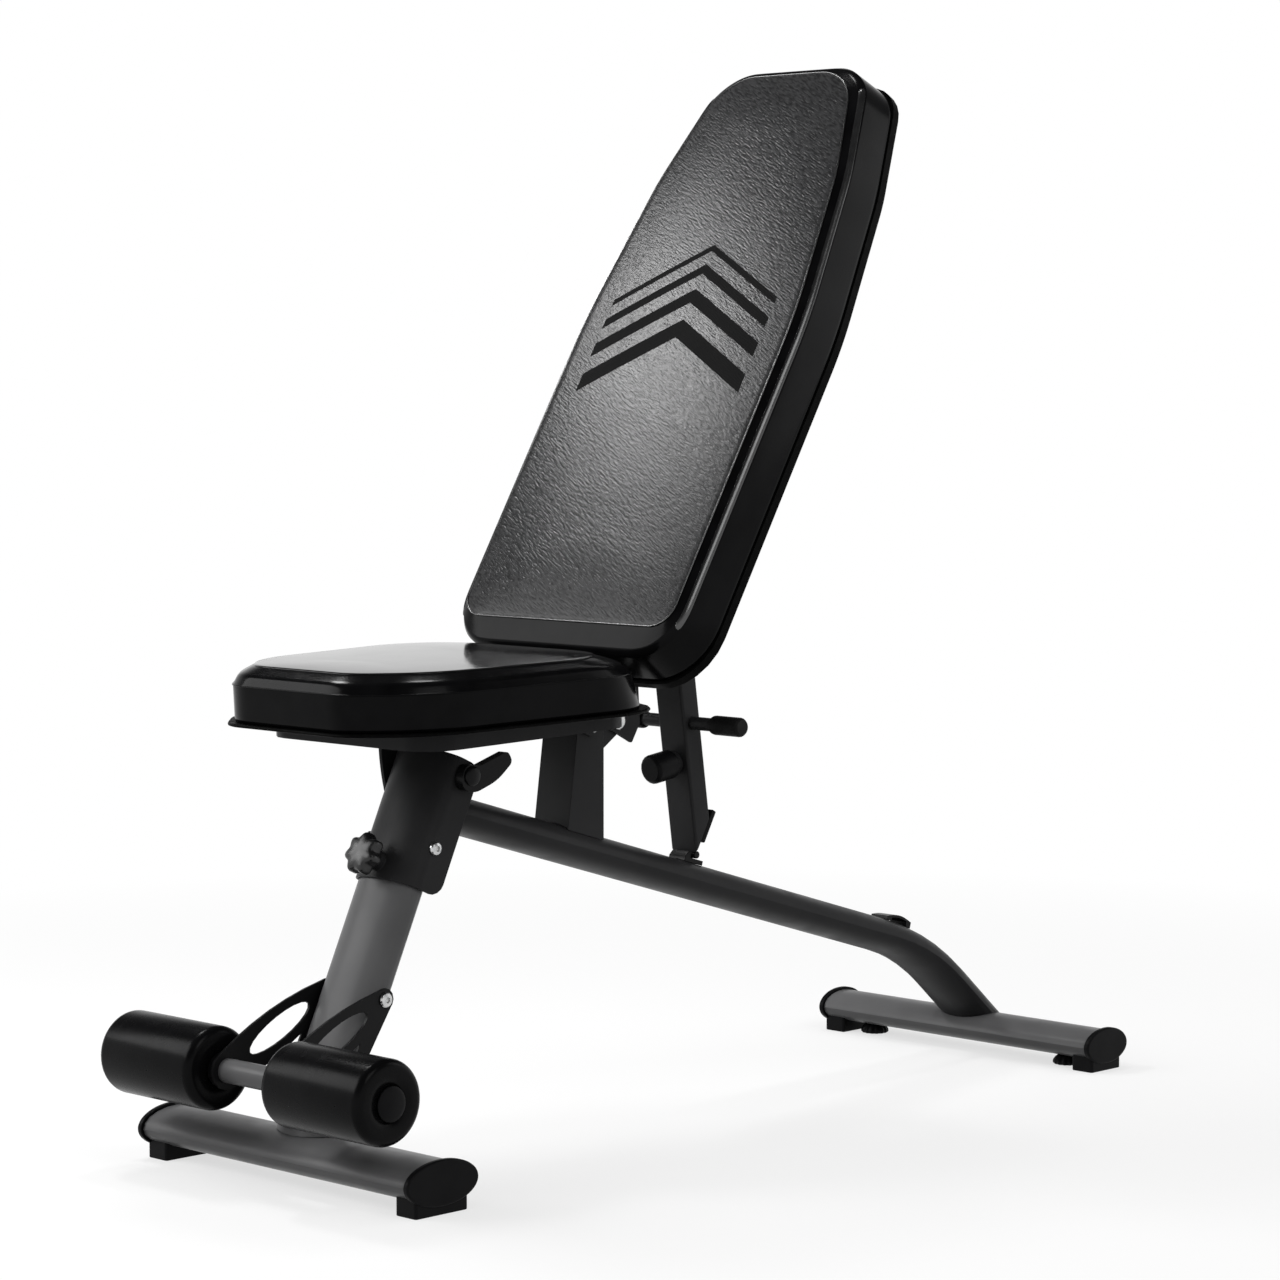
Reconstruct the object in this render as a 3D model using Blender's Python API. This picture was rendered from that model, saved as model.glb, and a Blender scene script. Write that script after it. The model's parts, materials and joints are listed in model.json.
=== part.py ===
"""Adjustable decline sit up bench.

A sloping beam stands on a rear foot and carries a bracket for the folding front leg, a post
for the hinges of the seat and backrest, and two catches for the telescopic strut that props
the backrest.  Metres, +Z up, +X from the foot rollers to the rear foot, +Y to the user's right.
"""

import math

import bmesh
import bpy
from mathutils import Matrix, Vector
from mathutils.geometry import convex_hull_2d

# Whole bench
LENGTH = 1.137              # front of the foam rollers to the back of the rear foot
FOOT_SPAN = 0.400           # across the end caps of either foot
FIT = 0.0003                # gap between pieces that touch
RUN = 0.0005                # gap between pieces that slide or turn
TUBE_WALL = 0.002           # wall of every steel tube
PLATE = 0.003               # thickness of brackets and cheeks
PIN_R = 0.005               # hinge pins of seat and backrest
FRONT = -LENGTH / 2         # stations are counted from the front of the rollers

# Feet: oval tubes, plastic end caps with a pad block under each
CAP_WALL = 0.003
CAP_LENGTH = 0.033
CAP_EDGE = 0.004
PAD_HEIGHT = 0.008
PAD_CORNER = 0.006
FRONT_TUBE_W = 0.084
FRONT_TUBE_H = 0.038
FRONT_PAD_W = 0.066
FRONT_FOOT_STATION = 0.099
REAR_TUBE_W = 0.066
REAR_TUBE_H = 0.034
REAR_PAD_W = 0.047
LEVELLER_R = 0.0165
LEVELLER_INSET = 0.057      # leveller in from the end of the foot
LEVELLER_LIFT = 0.0006      # levellers are backed off the floor by this much

# Beam: one oval tube with a bend above the rear foot
BEAM_W = 0.072
BEAM_H = 0.038
BEAM_FRONT_STATION = 0.290
BEAM_FRONT_Z = 0.3410
BEAM_TAIL = 0.103           # bend ahead of the middle of the rear foot
TAIL_SHIFT = 0.019          # tail lands this far behind the middle of the rear foot
BEAM_BEND_Z = 0.1316
BEAM_BEND_R = 0.300

# Front leg and its bracket
LEG_PIVOT_STATION = 0.231
LEG_PIVOT_Z = 0.315
LEG_W = 0.082
LEG_D = 0.044
LEG_BOLT_R = 0.005
BRACKET_BELOW = 0.043       # bracket below the leg pivot, along the leg
BRACKET_ABOVE = 0.094       # bracket above the leg pivot, along the leg
BRACKET_BACK = 0.026        # side plates behind the leg's axis
BRACKET_CORNER = 0.016
KNOB_BELOW = 0.026          # star knob below the leg pivot
KNOB_R = 0.0215
KNOB_LENGTH = 0.022
KNOB_LOBES = 7
KNOB_LOBE_DEPTH = 0.0044
KNOB_BOSS_R = 0.010
KNOB_BOSS_LENGTH = 0.006
KNOB_SCREW_R = 0.004

# Foam rollers, their bar and the two leaf shaped plates that carry it
ROLLER_R = 0.041
ROLLER_LENGTH = 0.140
ROLLER_OUTER_Y = 0.192
ROLLER_EDGE = 0.007
ROLLER_Z = 0.111
BAR_R = 0.012
PLUG_R = 0.017
PLUG_HEAD = 0.004
PLUG_SPIGOT = 0.020
ROLLER_PLATE_EYE_R = 0.019
ROLLER_PLATE_BOLT_R = 0.011
ROLLER_PLATE_BOLT_UP = 0.155    # below the leg pivot, along the leg
ROLLER_PLATE_BOW = 0.007        # how far the leaf's edges swell
ROLLER_PLATE_SLOT_W = 0.024
ROLLER_PLATE_TAIL = 0.075       # tail below the bolt, along the leg
SMALL_BOLT_R = 0.004
SMALL_HEAD_R = 0.0075
SMALL_HEAD_H = 0.004

# Seat post and hinges
SEAT_HINGE_STATION = 0.464
HINGE_Z = 0.420
BACK_HINGE_STATION = 0.503
POST_W = 0.050
POST_BACK_STATION = 0.483
POST_TOP_D = 0.037
POST_FOOT_D = 0.052
POST_FOOT_Z = 0.310
POST_TOP_R = 0.013
HINGE_LOBE_R = 0.013
CHEEK_OUTER_Y = 0.022

# Seat, in its own frame: origin on the seat hinge, X to the rear, Z up
SEAT_TILT = math.radians(1.2)
SEAT_LIFT = math.radians(9.0)   # travel of the seat hinge
SEAT_FRONT = 0.381              # cushion ahead of the hinge
SEAT_BACK = 0.014               # cushion stops this far ahead of the hinge
SEAT_NOSE_W = 0.164
SEAT_SHOULDER_W = 0.292
SEAT_SHOULDER = 0.062           # shoulder behind the front edge
SEAT_REAR_W = 0.332
SEAT_CORNER = 0.045
SEAT_REAR_CORNER = 0.080
SEAT_BOARD_Z = 0.024
SEAT_BOARD_T = 0.009
SEAT_BOARD_LIP = 0.005
SEAT_SIDE_H = 0.028
SEAT_TOP_Z = 0.082
SEAT_CROWN = 0.003
SEAT_BEVEL = 0.030
SEAT_REAR_BEVEL = 0.056
SEAT_BULGE = 0.002              # swell of the cushion's side
SEAT_REAR_LEAN = 0.012          # back of the cushion leans forward by this
TRAY_FRONT = 0.311
TRAY_BACK = 0.026
TRAY_W = 0.247
TRAY_Z = 0.0055
TRAY_T = 0.0025
TRAY_CORNER = 0.035
SECTOR_OUT = 0.026              # sector plate beyond the clamp bolt, away from the hinge
SECTOR_IN = 0.025
SECTOR_T = 0.004
CLAMP_UP = 0.079                # clamp bolt above the leg pivot, along the leg
CLAMP_BACK = 0.007
CLAMP_R = 0.004
LEVER_REACH = 0.055
LEVER_HUB_R = 0.015
LEVER_T = 0.011

# Backrest, in its own frame: origin on the back hinge, X up the backrest, Z out of its front
BACK_INCLINE = math.radians(59.0)
BACK_BOTTOM = 0.027
BACK_TOP = 0.737
BACK_W = 0.324
BACK_TOP_W = 0.214
BACK_TAPER_START = 0.425
BACK_LOW_CORNER = 0.060
BACK_TOP_CORNER = 0.052
BACK_BOARD_Z = 0.0375
BACK_BOARD_T = 0.010
BACK_BOARD_LIP = 0.004
BACK_EDGE_Z = 0.0935
BACK_FRONT_Z = 0.1020
BACK_EDGE_BEVEL = 0.004
BACK_PANEL_BEVEL = 0.013
BACK_CROWN = 0.002
BACK_SIDE_R = 0.500             # curve of the side where the taper starts
BACK_SHOULDER_R = 0.300
CHANNEL_W = 0.050
CHANNEL_T = 0.0025
CHANNEL_D = 0.029
CHANNEL_START = 0.040
CHANNEL_END = 0.600
CHANNEL_TAB = 0.030             # tab on each ear, behind the hinge
CHANNEL_BOLT_AT = (0.110, 0.340, 0.560)

# Strut: sleeve with foot and handles, sliding on an inner tube hinged to the backrest
STRUT_PIVOT_UP = 0.207
STRUT_PIVOT_OUT = 0.021
STRUT_PIN_R = 0.004
STRUT_FOOT_STATION = 0.624
SLEEVE_W = 0.038
SLEEVE_D = 0.025
SLEEVE_CORNER = 0.003
SLEEVE_WALL = 0.0018
SLEEVE_STROKE = 0.052
SLEEVE_TOP_GAP = 0.060          # below the strut pivot
MITRE_RISE = 0.033
FOOT_CAP_T = 0.006
FOOT_CAP_HEEL = 0.005           # foot cap past the back of the sleeve
FOOT_CAP_CORNER = 0.0012
EYE_START = 0.010               # rounding of the inner tube starts below its end by this
HOOK_R = 0.004
HOOK_LENGTH = 0.030
INNER_TAIL_GAP = 0.010          # inner tube above the foot with the sleeve pushed up
HANDLE_UP = 0.141               # above the foot, along the strut
HANDLE_R = 0.0070
HANDLE_END_Y = 0.091
GRIP_R = 0.0102
GRIP_LENGTH = 0.041
GRIP_EDGE = 0.003
PULL_UP = 0.100
PULL_KNOB_R = 0.0155
PULL_KNOB_LENGTH = 0.032
PULL_KNOB_EDGE = 0.003
PULL_HOLES = 5
PULL_COLLAR_R = 0.012
PULL_COLLAR_LENGTH = 0.006
PULL_PLUNGER_R = 0.004
CATCH_W = 0.024
CATCH_T = 0.004
CATCH_FRONT_LENGTH = 0.028
STRAP_LENGTH = 0.042
STRAP_RISE = 0.004
STRAP_AHEAD = 0.041             # strap ahead of the beam's bend
DEEP = 0.100                    # more than any hole is deep

ROUND = 20                      # facets of round pieces
SMALL_ROUND = 12
ROLLER_ROUND = 24
SIDES = ((-1, "left"), (1, "right"))


def clear_scene():
    for item in list(bpy.data.objects):
        bpy.data.objects.remove(item, do_unlink=True)


def paint(name, colour, roughness, metallic=0.0):
    material = bpy.data.materials.new(name)
    material.use_nodes = True
    shader = material.node_tree.nodes["Principled BSDF"]
    shader.inputs["Base Color"].default_value = (*colour, 1.0)
    shader.inputs["Roughness"].default_value = roughness
    shader.inputs["Metallic"].default_value = metallic
    return material


def frame(name, origin, turn=0.0):
    """An empty on a joint, turned about Y, that carries the pieces of one body."""
    empty = bpy.data.objects.new(name, None)
    empty.location = origin
    empty.rotation_euler = (0.0, turn, 0.0)
    bpy.context.collection.objects.link(empty)
    bpy.context.view_layer.update()
    return empty


def add(name, bm, finish, parent=None, world=False):
    """Turn a bmesh, drawn in its parent's frame or in the world's, into a named object."""
    if world and parent:
        bm.transform(parent.matrix_world.inverted())
    mesh = bpy.data.meshes.new(name)
    bm.to_mesh(mesh)
    bm.free()
    mesh.shade_smooth()
    mesh.set_sharp_from_angle(angle=math.radians(35))
    item = bpy.data.objects.new(name, mesh)
    bpy.context.collection.objects.link(item)
    item.parent = parent
    if finish:
        mesh.materials.append(finish)
    return item


def carve(item, bm, operation="DIFFERENCE", parent=None, world=False):
    """Cut a tool shape out of a piece, or join it on, and keep the result as the piece's mesh."""
    tool = add(item.name + "_tool", bm, None, parent or item.parent, world)
    change = item.modifiers.new("carve", "BOOLEAN")
    change.operation = operation
    change.solver = "EXACT"
    change.object = tool
    bpy.context.view_layer.update()
    graph = bpy.context.evaluated_depsgraph_get()
    mesh = bpy.data.meshes.new_from_object(item.evaluated_get(graph))
    item.modifiers.remove(change)
    old = item.data
    item.data = mesh
    bpy.data.meshes.remove(old)
    bpy.data.objects.remove(tool, do_unlink=True)
    mesh.name = item.name
    mesh.shade_smooth()
    mesh.set_sharp_from_angle(angle=math.radians(35))


def ellipse(width, height, count=ROUND):
    steps = (2 * math.pi * i / count for i in range(count))
    return [(width / 2 * math.cos(a), height / 2 * math.sin(a)) for a in steps]


def rounded(points, radius, steps=4):
    """Round the corners of a polygon; radius is one value or one for each corner."""
    radii = radius if isinstance(radius, (list, tuple)) else [radius] * len(points)
    outline = []
    for i, point in enumerate(points):
        here = Vector(point)
        back = Vector(points[i - 1]) - here
        ahead = Vector(points[(i + 1) % len(points)]) - here
        half = back.angle(ahead) / 2
        reach = min(radii[i] / math.tan(half), 0.48 * back.length, 0.48 * ahead.length)
        arc_r = reach * math.tan(half)
        centre = here + (back.normalized() + ahead.normalized()).normalized() * arc_r / math.sin(half)
        start = here + back.normalized() * reach - centre
        sweep = math.pi - 2 * half
        side = 1 if (-back).cross(ahead) > 0 else -1
        for k in range(steps + 1):
            outline.append(tuple(centre + Matrix.Rotation(side * sweep * k / steps, 2) @ start))
    return outline


def hull(circles, steps=24):
    """Outline of the tightest band around circles given as (x, y, radius)."""
    turns = [2 * math.pi * k / steps for k in range(steps)]
    cloud = [Vector((x + r * math.cos(a), y + r * math.sin(a))) for x, y, r in circles for a in turns]
    return [tuple(cloud[i]) for i in convex_hull_2d(cloud)]


def box(low, high):
    bm = bmesh.new()
    bmesh.ops.create_cube(bm, size=1.0)
    size = Vector(high) - Vector(low)
    bmesh.ops.scale(bm, vec=size, verts=bm.verts)
    bmesh.ops.translate(bm, vec=(Vector(high) + Vector(low)) / 2, verts=bm.verts)
    return bm


def prism(outline, depth, place=None):
    """Extrude a flat outline in XY up by depth."""
    bm = bmesh.new()
    face = bm.faces.new([bm.verts.new((x, y, 0.0)) for x, y in outline])
    made = bmesh.ops.extrude_face_region(bm, geom=[face])["geom"]
    moved = [part for part in made if isinstance(part, bmesh.types.BMVert)]
    bmesh.ops.translate(bm, vec=(0.0, 0.0, depth), verts=moved)
    bmesh.ops.recalc_face_normals(bm, faces=bm.faces)
    if place:
        bm.transform(place)
    return bm


def slab(outline, low_y, high_y):
    """Extrude an outline drawn in XZ between two values of Y."""
    turn = Matrix.Translation((0.0, high_y, 0.0)) @ Matrix.Rotation(math.pi / 2, 4, "X")
    return prism(outline, high_y - low_y, turn)


def skin(loops, ring=False):
    """Join closed loops of points; a ring also joins the last to the first, as for a tube wall."""
    bm = bmesh.new()
    rows = [[bm.verts.new(point) for point in loop] for loop in loops]
    pairs = list(zip(rows, rows[1:]))
    if ring:
        pairs.append((rows[-1], rows[0]))
    else:
        bm.faces.new(rows[0])
        bm.faces.new(rows[-1])
    for low, high in pairs:
        for i in range(len(low)):
            j = (i + 1) % len(low)
            bm.faces.new((low[i], low[j], high[j], high[i]))
    bmesh.ops.recalc_face_normals(bm, faces=bm.faces)
    return bm


def turned(profile, place=None, count=ROUND, closed=False):
    """Spin a profile of (radius, height) points about Z."""
    bm = bmesh.new()
    verts = [bm.verts.new((r, 0.0, z)) for r, z in profile]
    ends = verts[1:] + verts[:1] if closed else verts[1:]
    edges = [bm.edges.new(pair) for pair in zip(verts, ends)]
    bmesh.ops.spin(bm, geom=verts + edges, cent=(0, 0, 0), axis=(0, 0, 1), angle=2 * math.pi,
                   steps=count, use_merge=True, use_duplicate=False)
    bmesh.ops.remove_doubles(bm, verts=bm.verts, dist=1e-6)
    bmesh.ops.recalc_face_normals(bm, faces=bm.faces)
    if place:
        bm.transform(place)
    return bm


def across(x, z, y=0.0, side=1):
    """Place a shape turned about Z so that its axis runs along Y, away from the middle."""
    return Matrix.Translation((x, y, z)) @ Matrix.Rotation(-side * math.pi / 2, 4, "X")


def rod(x, z, low_y, high_y, radius, count=SMALL_ROUND):
    """A plain cylinder along Y."""
    length = high_y - low_y
    return turned([(0, 0), (radius, 0), (radius, length), (0, length)], across(x, z, low_y), count)


def cylinder(radius, low, high, place=None, count=SMALL_ROUND):
    """A plain cylinder along Z."""
    return turned([(0, low), (radius, low), (radius, high), (0, high)], place, count)


def pipe(inner, outer, low, high, place=None, count=ROUND):
    """A cylinder along Z with a bore."""
    return turned([(inner, low), (outer, low), (outer, high), (inner, high)], place, count, True)


def tube_loops(stations, outline):
    """Sections of a tube that lies in the XZ plane; a station is (x, z, direction)."""
    loops = []
    for x, z, angle in stations:
        loops.append([(x - v * math.sin(angle), u, z + v * math.cos(angle)) for u, v in outline])
    return loops


def hollow(stations, outer, inner):
    return skin(tube_loops(stations, outer) + tube_loops(stations[::-1], inner), ring=True)


def upright(outer, inner, low, high):
    """A hollow tube along Z from outlines drawn in XY."""
    loops = [[(x, y, z) for x, y in outer] for z in (low, high)]
    loops += [[(x, y, z) for x, y in inner] for z in (high, low)]
    return skin(loops, ring=True)


def oblong(width, depth, corner):
    u = depth / 2
    v = width / 2
    return rounded([(-u, -v), (u, -v), (u, v), (-u, v)], corner, 3)


# Finishes
STEEL = paint("dark_grey_paint", (0.035, 0.036, 0.038), 0.38, 0.0)
LEG_STEEL = paint("mid_grey_paint", (0.11, 0.112, 0.115), 0.36, 0.0)
BLACK_STEEL = paint("black_paint", (0.012, 0.012, 0.013), 0.42, 0.0)
PLASTIC = paint("black_plastic", (0.010, 0.010, 0.011), 0.45)
RUBBER = paint("black_rubber", (0.014, 0.014, 0.014), 0.75)
FOAM_SKIN = paint("gloss_foam_skin", (0.008, 0.008, 0.009), 0.22)
ZINC = paint("bright_zinc", (0.72, 0.72, 0.74), 0.22, 1.0)
BLACK_LEATHER = paint("black_leather", (0.012, 0.012, 0.013), 0.34)
GREY_LEATHER = paint("grey_leather", (0.07, 0.071, 0.074), 0.5)
BOARD = paint("black_board", (0.010, 0.010, 0.010), 0.55)

# Points that the bodies share
FRONT_CAP_H = FRONT_TUBE_H + 2 * CAP_WALL
REAR_CAP_H = REAR_TUBE_H + 2 * CAP_WALL
REAR_CAP_W = REAR_TUBE_W + 2 * CAP_WALL
FRONT_FOOT = Vector((FRONT + FRONT_FOOT_STATION, 0.0, PAD_HEIGHT + FRONT_CAP_H / 2))
REAR_FOOT = Vector((FRONT + LENGTH - REAR_CAP_W / 2, 0.0, PAD_HEIGHT + REAR_CAP_H / 2))
ROLLER_AXIS = Vector((FRONT + ROLLER_R, 0.0, ROLLER_Z))
LEG_PIVOT = Vector((FRONT + LEG_PIVOT_STATION, 0.0, LEG_PIVOT_Z))
LEG_LEAN = math.atan2(LEG_PIVOT.x - FRONT_FOOT.x, LEG_PIVOT.z - FRONT_FOOT.z)
SEAT_HINGE = Vector((FRONT + SEAT_HINGE_STATION, 0.0, HINGE_Z))
BACK_HINGE = Vector((FRONT + BACK_HINGE_STATION, 0.0, HINGE_Z))
BEAM_FRONT = Vector((FRONT + BEAM_FRONT_STATION, 0.0, BEAM_FRONT_Z))
BEAM_BEND = Vector((REAR_FOOT.x - BEAM_TAIL, 0.0, BEAM_BEND_Z))
BEAM_FALL = math.atan2(BEAM_BEND.z - BEAM_FRONT.z, BEAM_BEND.x - BEAM_FRONT.x)
BEAM_END = REAR_FOOT + Vector((TAIL_SHIFT, 0.0, 0.0))
TAIL_FALL = math.atan2(BEAM_END.z - BEAM_BEND.z, BEAM_END.x - BEAM_BEND.x)
BACK_TURN = Matrix.Rotation(-BACK_INCLINE, 3, "Y")
STRUT_PIVOT = BACK_HINGE + BACK_TURN @ Vector((STRUT_PIVOT_UP, 0.0, STRUT_PIVOT_OUT))


def beam_top(x, lift=0.0):
    """Point a little above the crest of the straight run of the beam, measured square to it."""
    normal = Vector((-math.sin(BEAM_FALL), 0.0, math.cos(BEAM_FALL)))
    foot = BEAM_FRONT + Vector((1.0, 0.0, math.tan(BEAM_FALL))) * (x - BEAM_FRONT.x)
    return foot + normal * (BEAM_H / 2 + lift)


def leg_point(back, up):
    """A point given in the leg's frame: behind its axis and up from the pivot."""
    return LEG_PIVOT + Matrix.Rotation(LEG_LEAN, 3, "Y") @ Vector((back, 0.0, up))


STRUT_FOOT = beam_top(FRONT + STRUT_FOOT_STATION, CATCH_T + HOOK_R + 2 * FIT)
HOOK_AHEAD = SLEEVE_D / 2 - HOOK_R
STRUT_REACH = (STRUT_FOOT - STRUT_PIVOT).length
STRUT_LEAN = (math.atan2(STRUT_FOOT.x - STRUT_PIVOT.x, STRUT_PIVOT.z - STRUT_FOOT.z)
              + math.asin(HOOK_AHEAD / STRUT_REACH))
STRUT_DROP = math.sqrt(STRUT_REACH ** 2 - HOOK_AHEAD ** 2)
CLAMP = leg_point(CLAMP_BACK, CLAMP_UP)


def beam_stations(margin):
    """Sections along the beam's axis: straight, round the bend, and down into the rear foot."""
    turn = BEAM_FALL - TAIL_FALL
    reach = BEAM_BEND_R * math.tan(turn / 2)
    first = BEAM_BEND - Vector((math.cos(BEAM_FALL), 0.0, math.sin(BEAM_FALL))) * reach
    centre = first - Vector((-math.sin(BEAM_FALL), 0.0, math.cos(BEAM_FALL))) * BEAM_BEND_R
    start = BEAM_FRONT - Vector((math.cos(BEAM_FALL), 0.0, math.sin(BEAM_FALL))) * margin
    stations = [(start.x, start.z, BEAM_FALL)]
    steps = 5
    for k in range(steps + 1):
        angle = BEAM_FALL - turn * k / steps
        rise = BEAM_BEND_R * math.cos(angle)
        stations.append((centre.x - BEAM_BEND_R * math.sin(angle), centre.z + rise, angle))
    stations.append((BEAM_END.x, BEAM_END.z, TAIL_FALL))
    return stations


def beam_cutter():
    """The beam's outside with a fitting gap, for the pieces that are shaped to sit on it."""
    return skin(tube_loops(beam_stations(0.0), ellipse(BEAM_W + 2 * FIT, BEAM_H + 2 * FIT)))


def beam_cutter_local(parent):
    bm = beam_cutter()
    bm.transform(parent.matrix_world.inverted())
    return bm


def solid_foot(foot, width, height):
    """A foot tube's outside with a fitting gap, for the pieces shaped to sit on it."""
    outline = ellipse(width + 2 * FIT, height + 2 * FIT, 2 * ROUND)
    ends = (-FOOT_SPAN / 2, FOOT_SPAN / 2)
    return skin([[(foot.x + u, y, foot.z + v) for u, v in outline] for y in ends])


def foot_tube(foot, width, height):
    reach = FOOT_SPAN / 2 - CAP_WALL - FIT
    outer = ellipse(width, height)
    inner = ellipse(width - 2 * TUBE_WALL, height - 2 * TUBE_WALL)
    loops = [[(u, y, v) for u, v in outer] for y in (-reach, reach)]
    loops += [[(u, y, v) for u, v in inner] for y in (reach, -reach)]
    bm = skin(loops, ring=True)
    bmesh.ops.translate(bm, vec=foot, verts=bm.verts)
    return bm


def foot_cap(name, foot, width, height, pad_width, side, parent=None):
    """Plastic cap pushed over the end of a foot tube, with the pad block it stands on."""
    end = FOOT_SPAN / 2
    start = end - CAP_LENGTH
    outer_w = width + 2 * CAP_WALL
    outer_h = height + 2 * CAP_WALL

    def oval(grow, y):
        outline = ellipse(outer_w + 2 * grow, outer_h + 2 * grow)
        return [(foot.x + u, side * y, foot.z + v) for u, v in outline]

    turn = CAP_EDGE * 0.3
    shell = skin([oval(0.0, start), oval(0.0, end - CAP_EDGE), oval(-turn, end - turn), oval(-CAP_EDGE, end)])
    cap = add(name, shell, PLASTIC, parent, world=True)
    block = oblong(CAP_LENGTH - 2 * FIT, pad_width, PAD_CORNER)
    place = Matrix.Translation((foot.x, side * (start + end) / 2, 0.0))
    carve(cap, prism(block, PAD_HEIGHT + outer_h * 0.2, place), "UNION", world=True)
    gap = FIT - CAP_WALL
    carve(cap, skin([oval(gap, start - CAP_WALL), oval(gap, end - CAP_WALL)]), world=True)


def build_frame():
    """The pieces that stand still: beam, rear foot, bracket, post, hinge pins and catches."""
    beam_outer = ellipse(BEAM_W, BEAM_H)
    beam_inner = ellipse(BEAM_W - 2 * TUBE_WALL, BEAM_H - 2 * TUBE_WALL)
    beam = add("main_beam", hollow(beam_stations(BEAM_H), beam_outer, beam_inner), STEEL)
    carve(beam, solid_foot(REAR_FOOT, REAR_TUBE_W, REAR_TUBE_H))
    add("rear_foot_tube", foot_tube(REAR_FOOT, REAR_TUBE_W, REAR_TUBE_H), LEG_STEEL)
    for side, word in SIDES:
        foot_cap("rear_foot_cap_" + word, REAR_FOOT, REAR_TUBE_W, REAR_TUBE_H, REAR_PAD_W, side)
        under = REAR_FOOT.z - REAR_TUBE_H / 2 - FIT
        dome = [(0, LEVELLER_LIFT), (LEVELLER_R * 0.94, LEVELLER_LIFT), (LEVELLER_R, under * 0.3),
                (LEVELLER_R * 0.8, under * 0.85), (LEVELLER_R * 0.66, under), (0, under)]
        place = Matrix.Translation((REAR_FOOT.x, side * (FOOT_SPAN / 2 - LEVELLER_INSET), 0.0))
        leveller = add("rear_leveller_" + word, turned(dome, place, SMALL_ROUND), PLASTIC)
        carve(leveller, solid_foot(REAR_FOOT, REAR_TUBE_W, REAR_TUBE_H))

    build_bracket(beam)

    back = FRONT + POST_BACK_STATION
    slope = (POST_FOOT_D - POST_TOP_D) / (HINGE_Z - POST_FOOT_Z)
    top = HINGE_Z + POST_TOP_R

    def post_outline(inset, drop):
        front_top = back - POST_TOP_D + slope * (top - HINGE_Z) + inset
        foot_z = beam_top(back - POST_FOOT_D, -BEAM_H / 2).z - drop
        front_low = back - POST_TOP_D - slope * (HINGE_Z - foot_z) + inset
        rear_z = beam_top(back, -BEAM_H / 2).z - drop
        corners = [(front_low, foot_z), (back - inset, rear_z), (back - inset, top - inset),
                   (front_top, top - inset)]
        return rounded(corners, [RUN, RUN, POST_TOP_R - inset, POST_TOP_R - inset], 5)

    post = add("seat_post", slab(post_outline(0.0, 0.0), -POST_W / 2, POST_W / 2), STEEL)
    hollow_w = POST_W / 2 - TUBE_WALL
    carve(post, slab(post_outline(TUBE_WALL, BEAM_H / 4), -hollow_w, hollow_w))
    carve(post, beam_cutter())
    carve(post, rod(SEAT_HINGE.x, HINGE_Z, -POST_W, POST_W, PIN_R + FIT))

    face = back + FIT
    middle = face + PLATE / 2
    cheeks = hull([(BACK_HINGE.x, HINGE_Z, HINGE_LOBE_R), (middle, HINGE_Z + HINGE_LOBE_R - PLATE, PLATE / 2),
                   (middle, HINGE_Z - 2 * HINGE_LOBE_R, PLATE / 2)])
    bracket = add("hinge_bracket", slab(cheeks, -CHEEK_OUTER_Y, CHEEK_OUTER_Y), STEEL)
    inside = CHEEK_OUTER_Y - PLATE
    carve(bracket, box((face + PLATE, -inside, HINGE_Z - DEEP), (face + DEEP, inside, HINGE_Z + DEEP)))
    carve(bracket, rod(BACK_HINGE.x, HINGE_Z, -POST_W, POST_W, PIN_R + FIT))

    hinge_pin("seat_hinge_pin", SEAT_HINGE, POST_W / 2 + RUN + PLATE)
    hinge_pin("back_hinge_pin", BACK_HINGE, CHANNEL_W / 2)
    build_catches()


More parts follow.
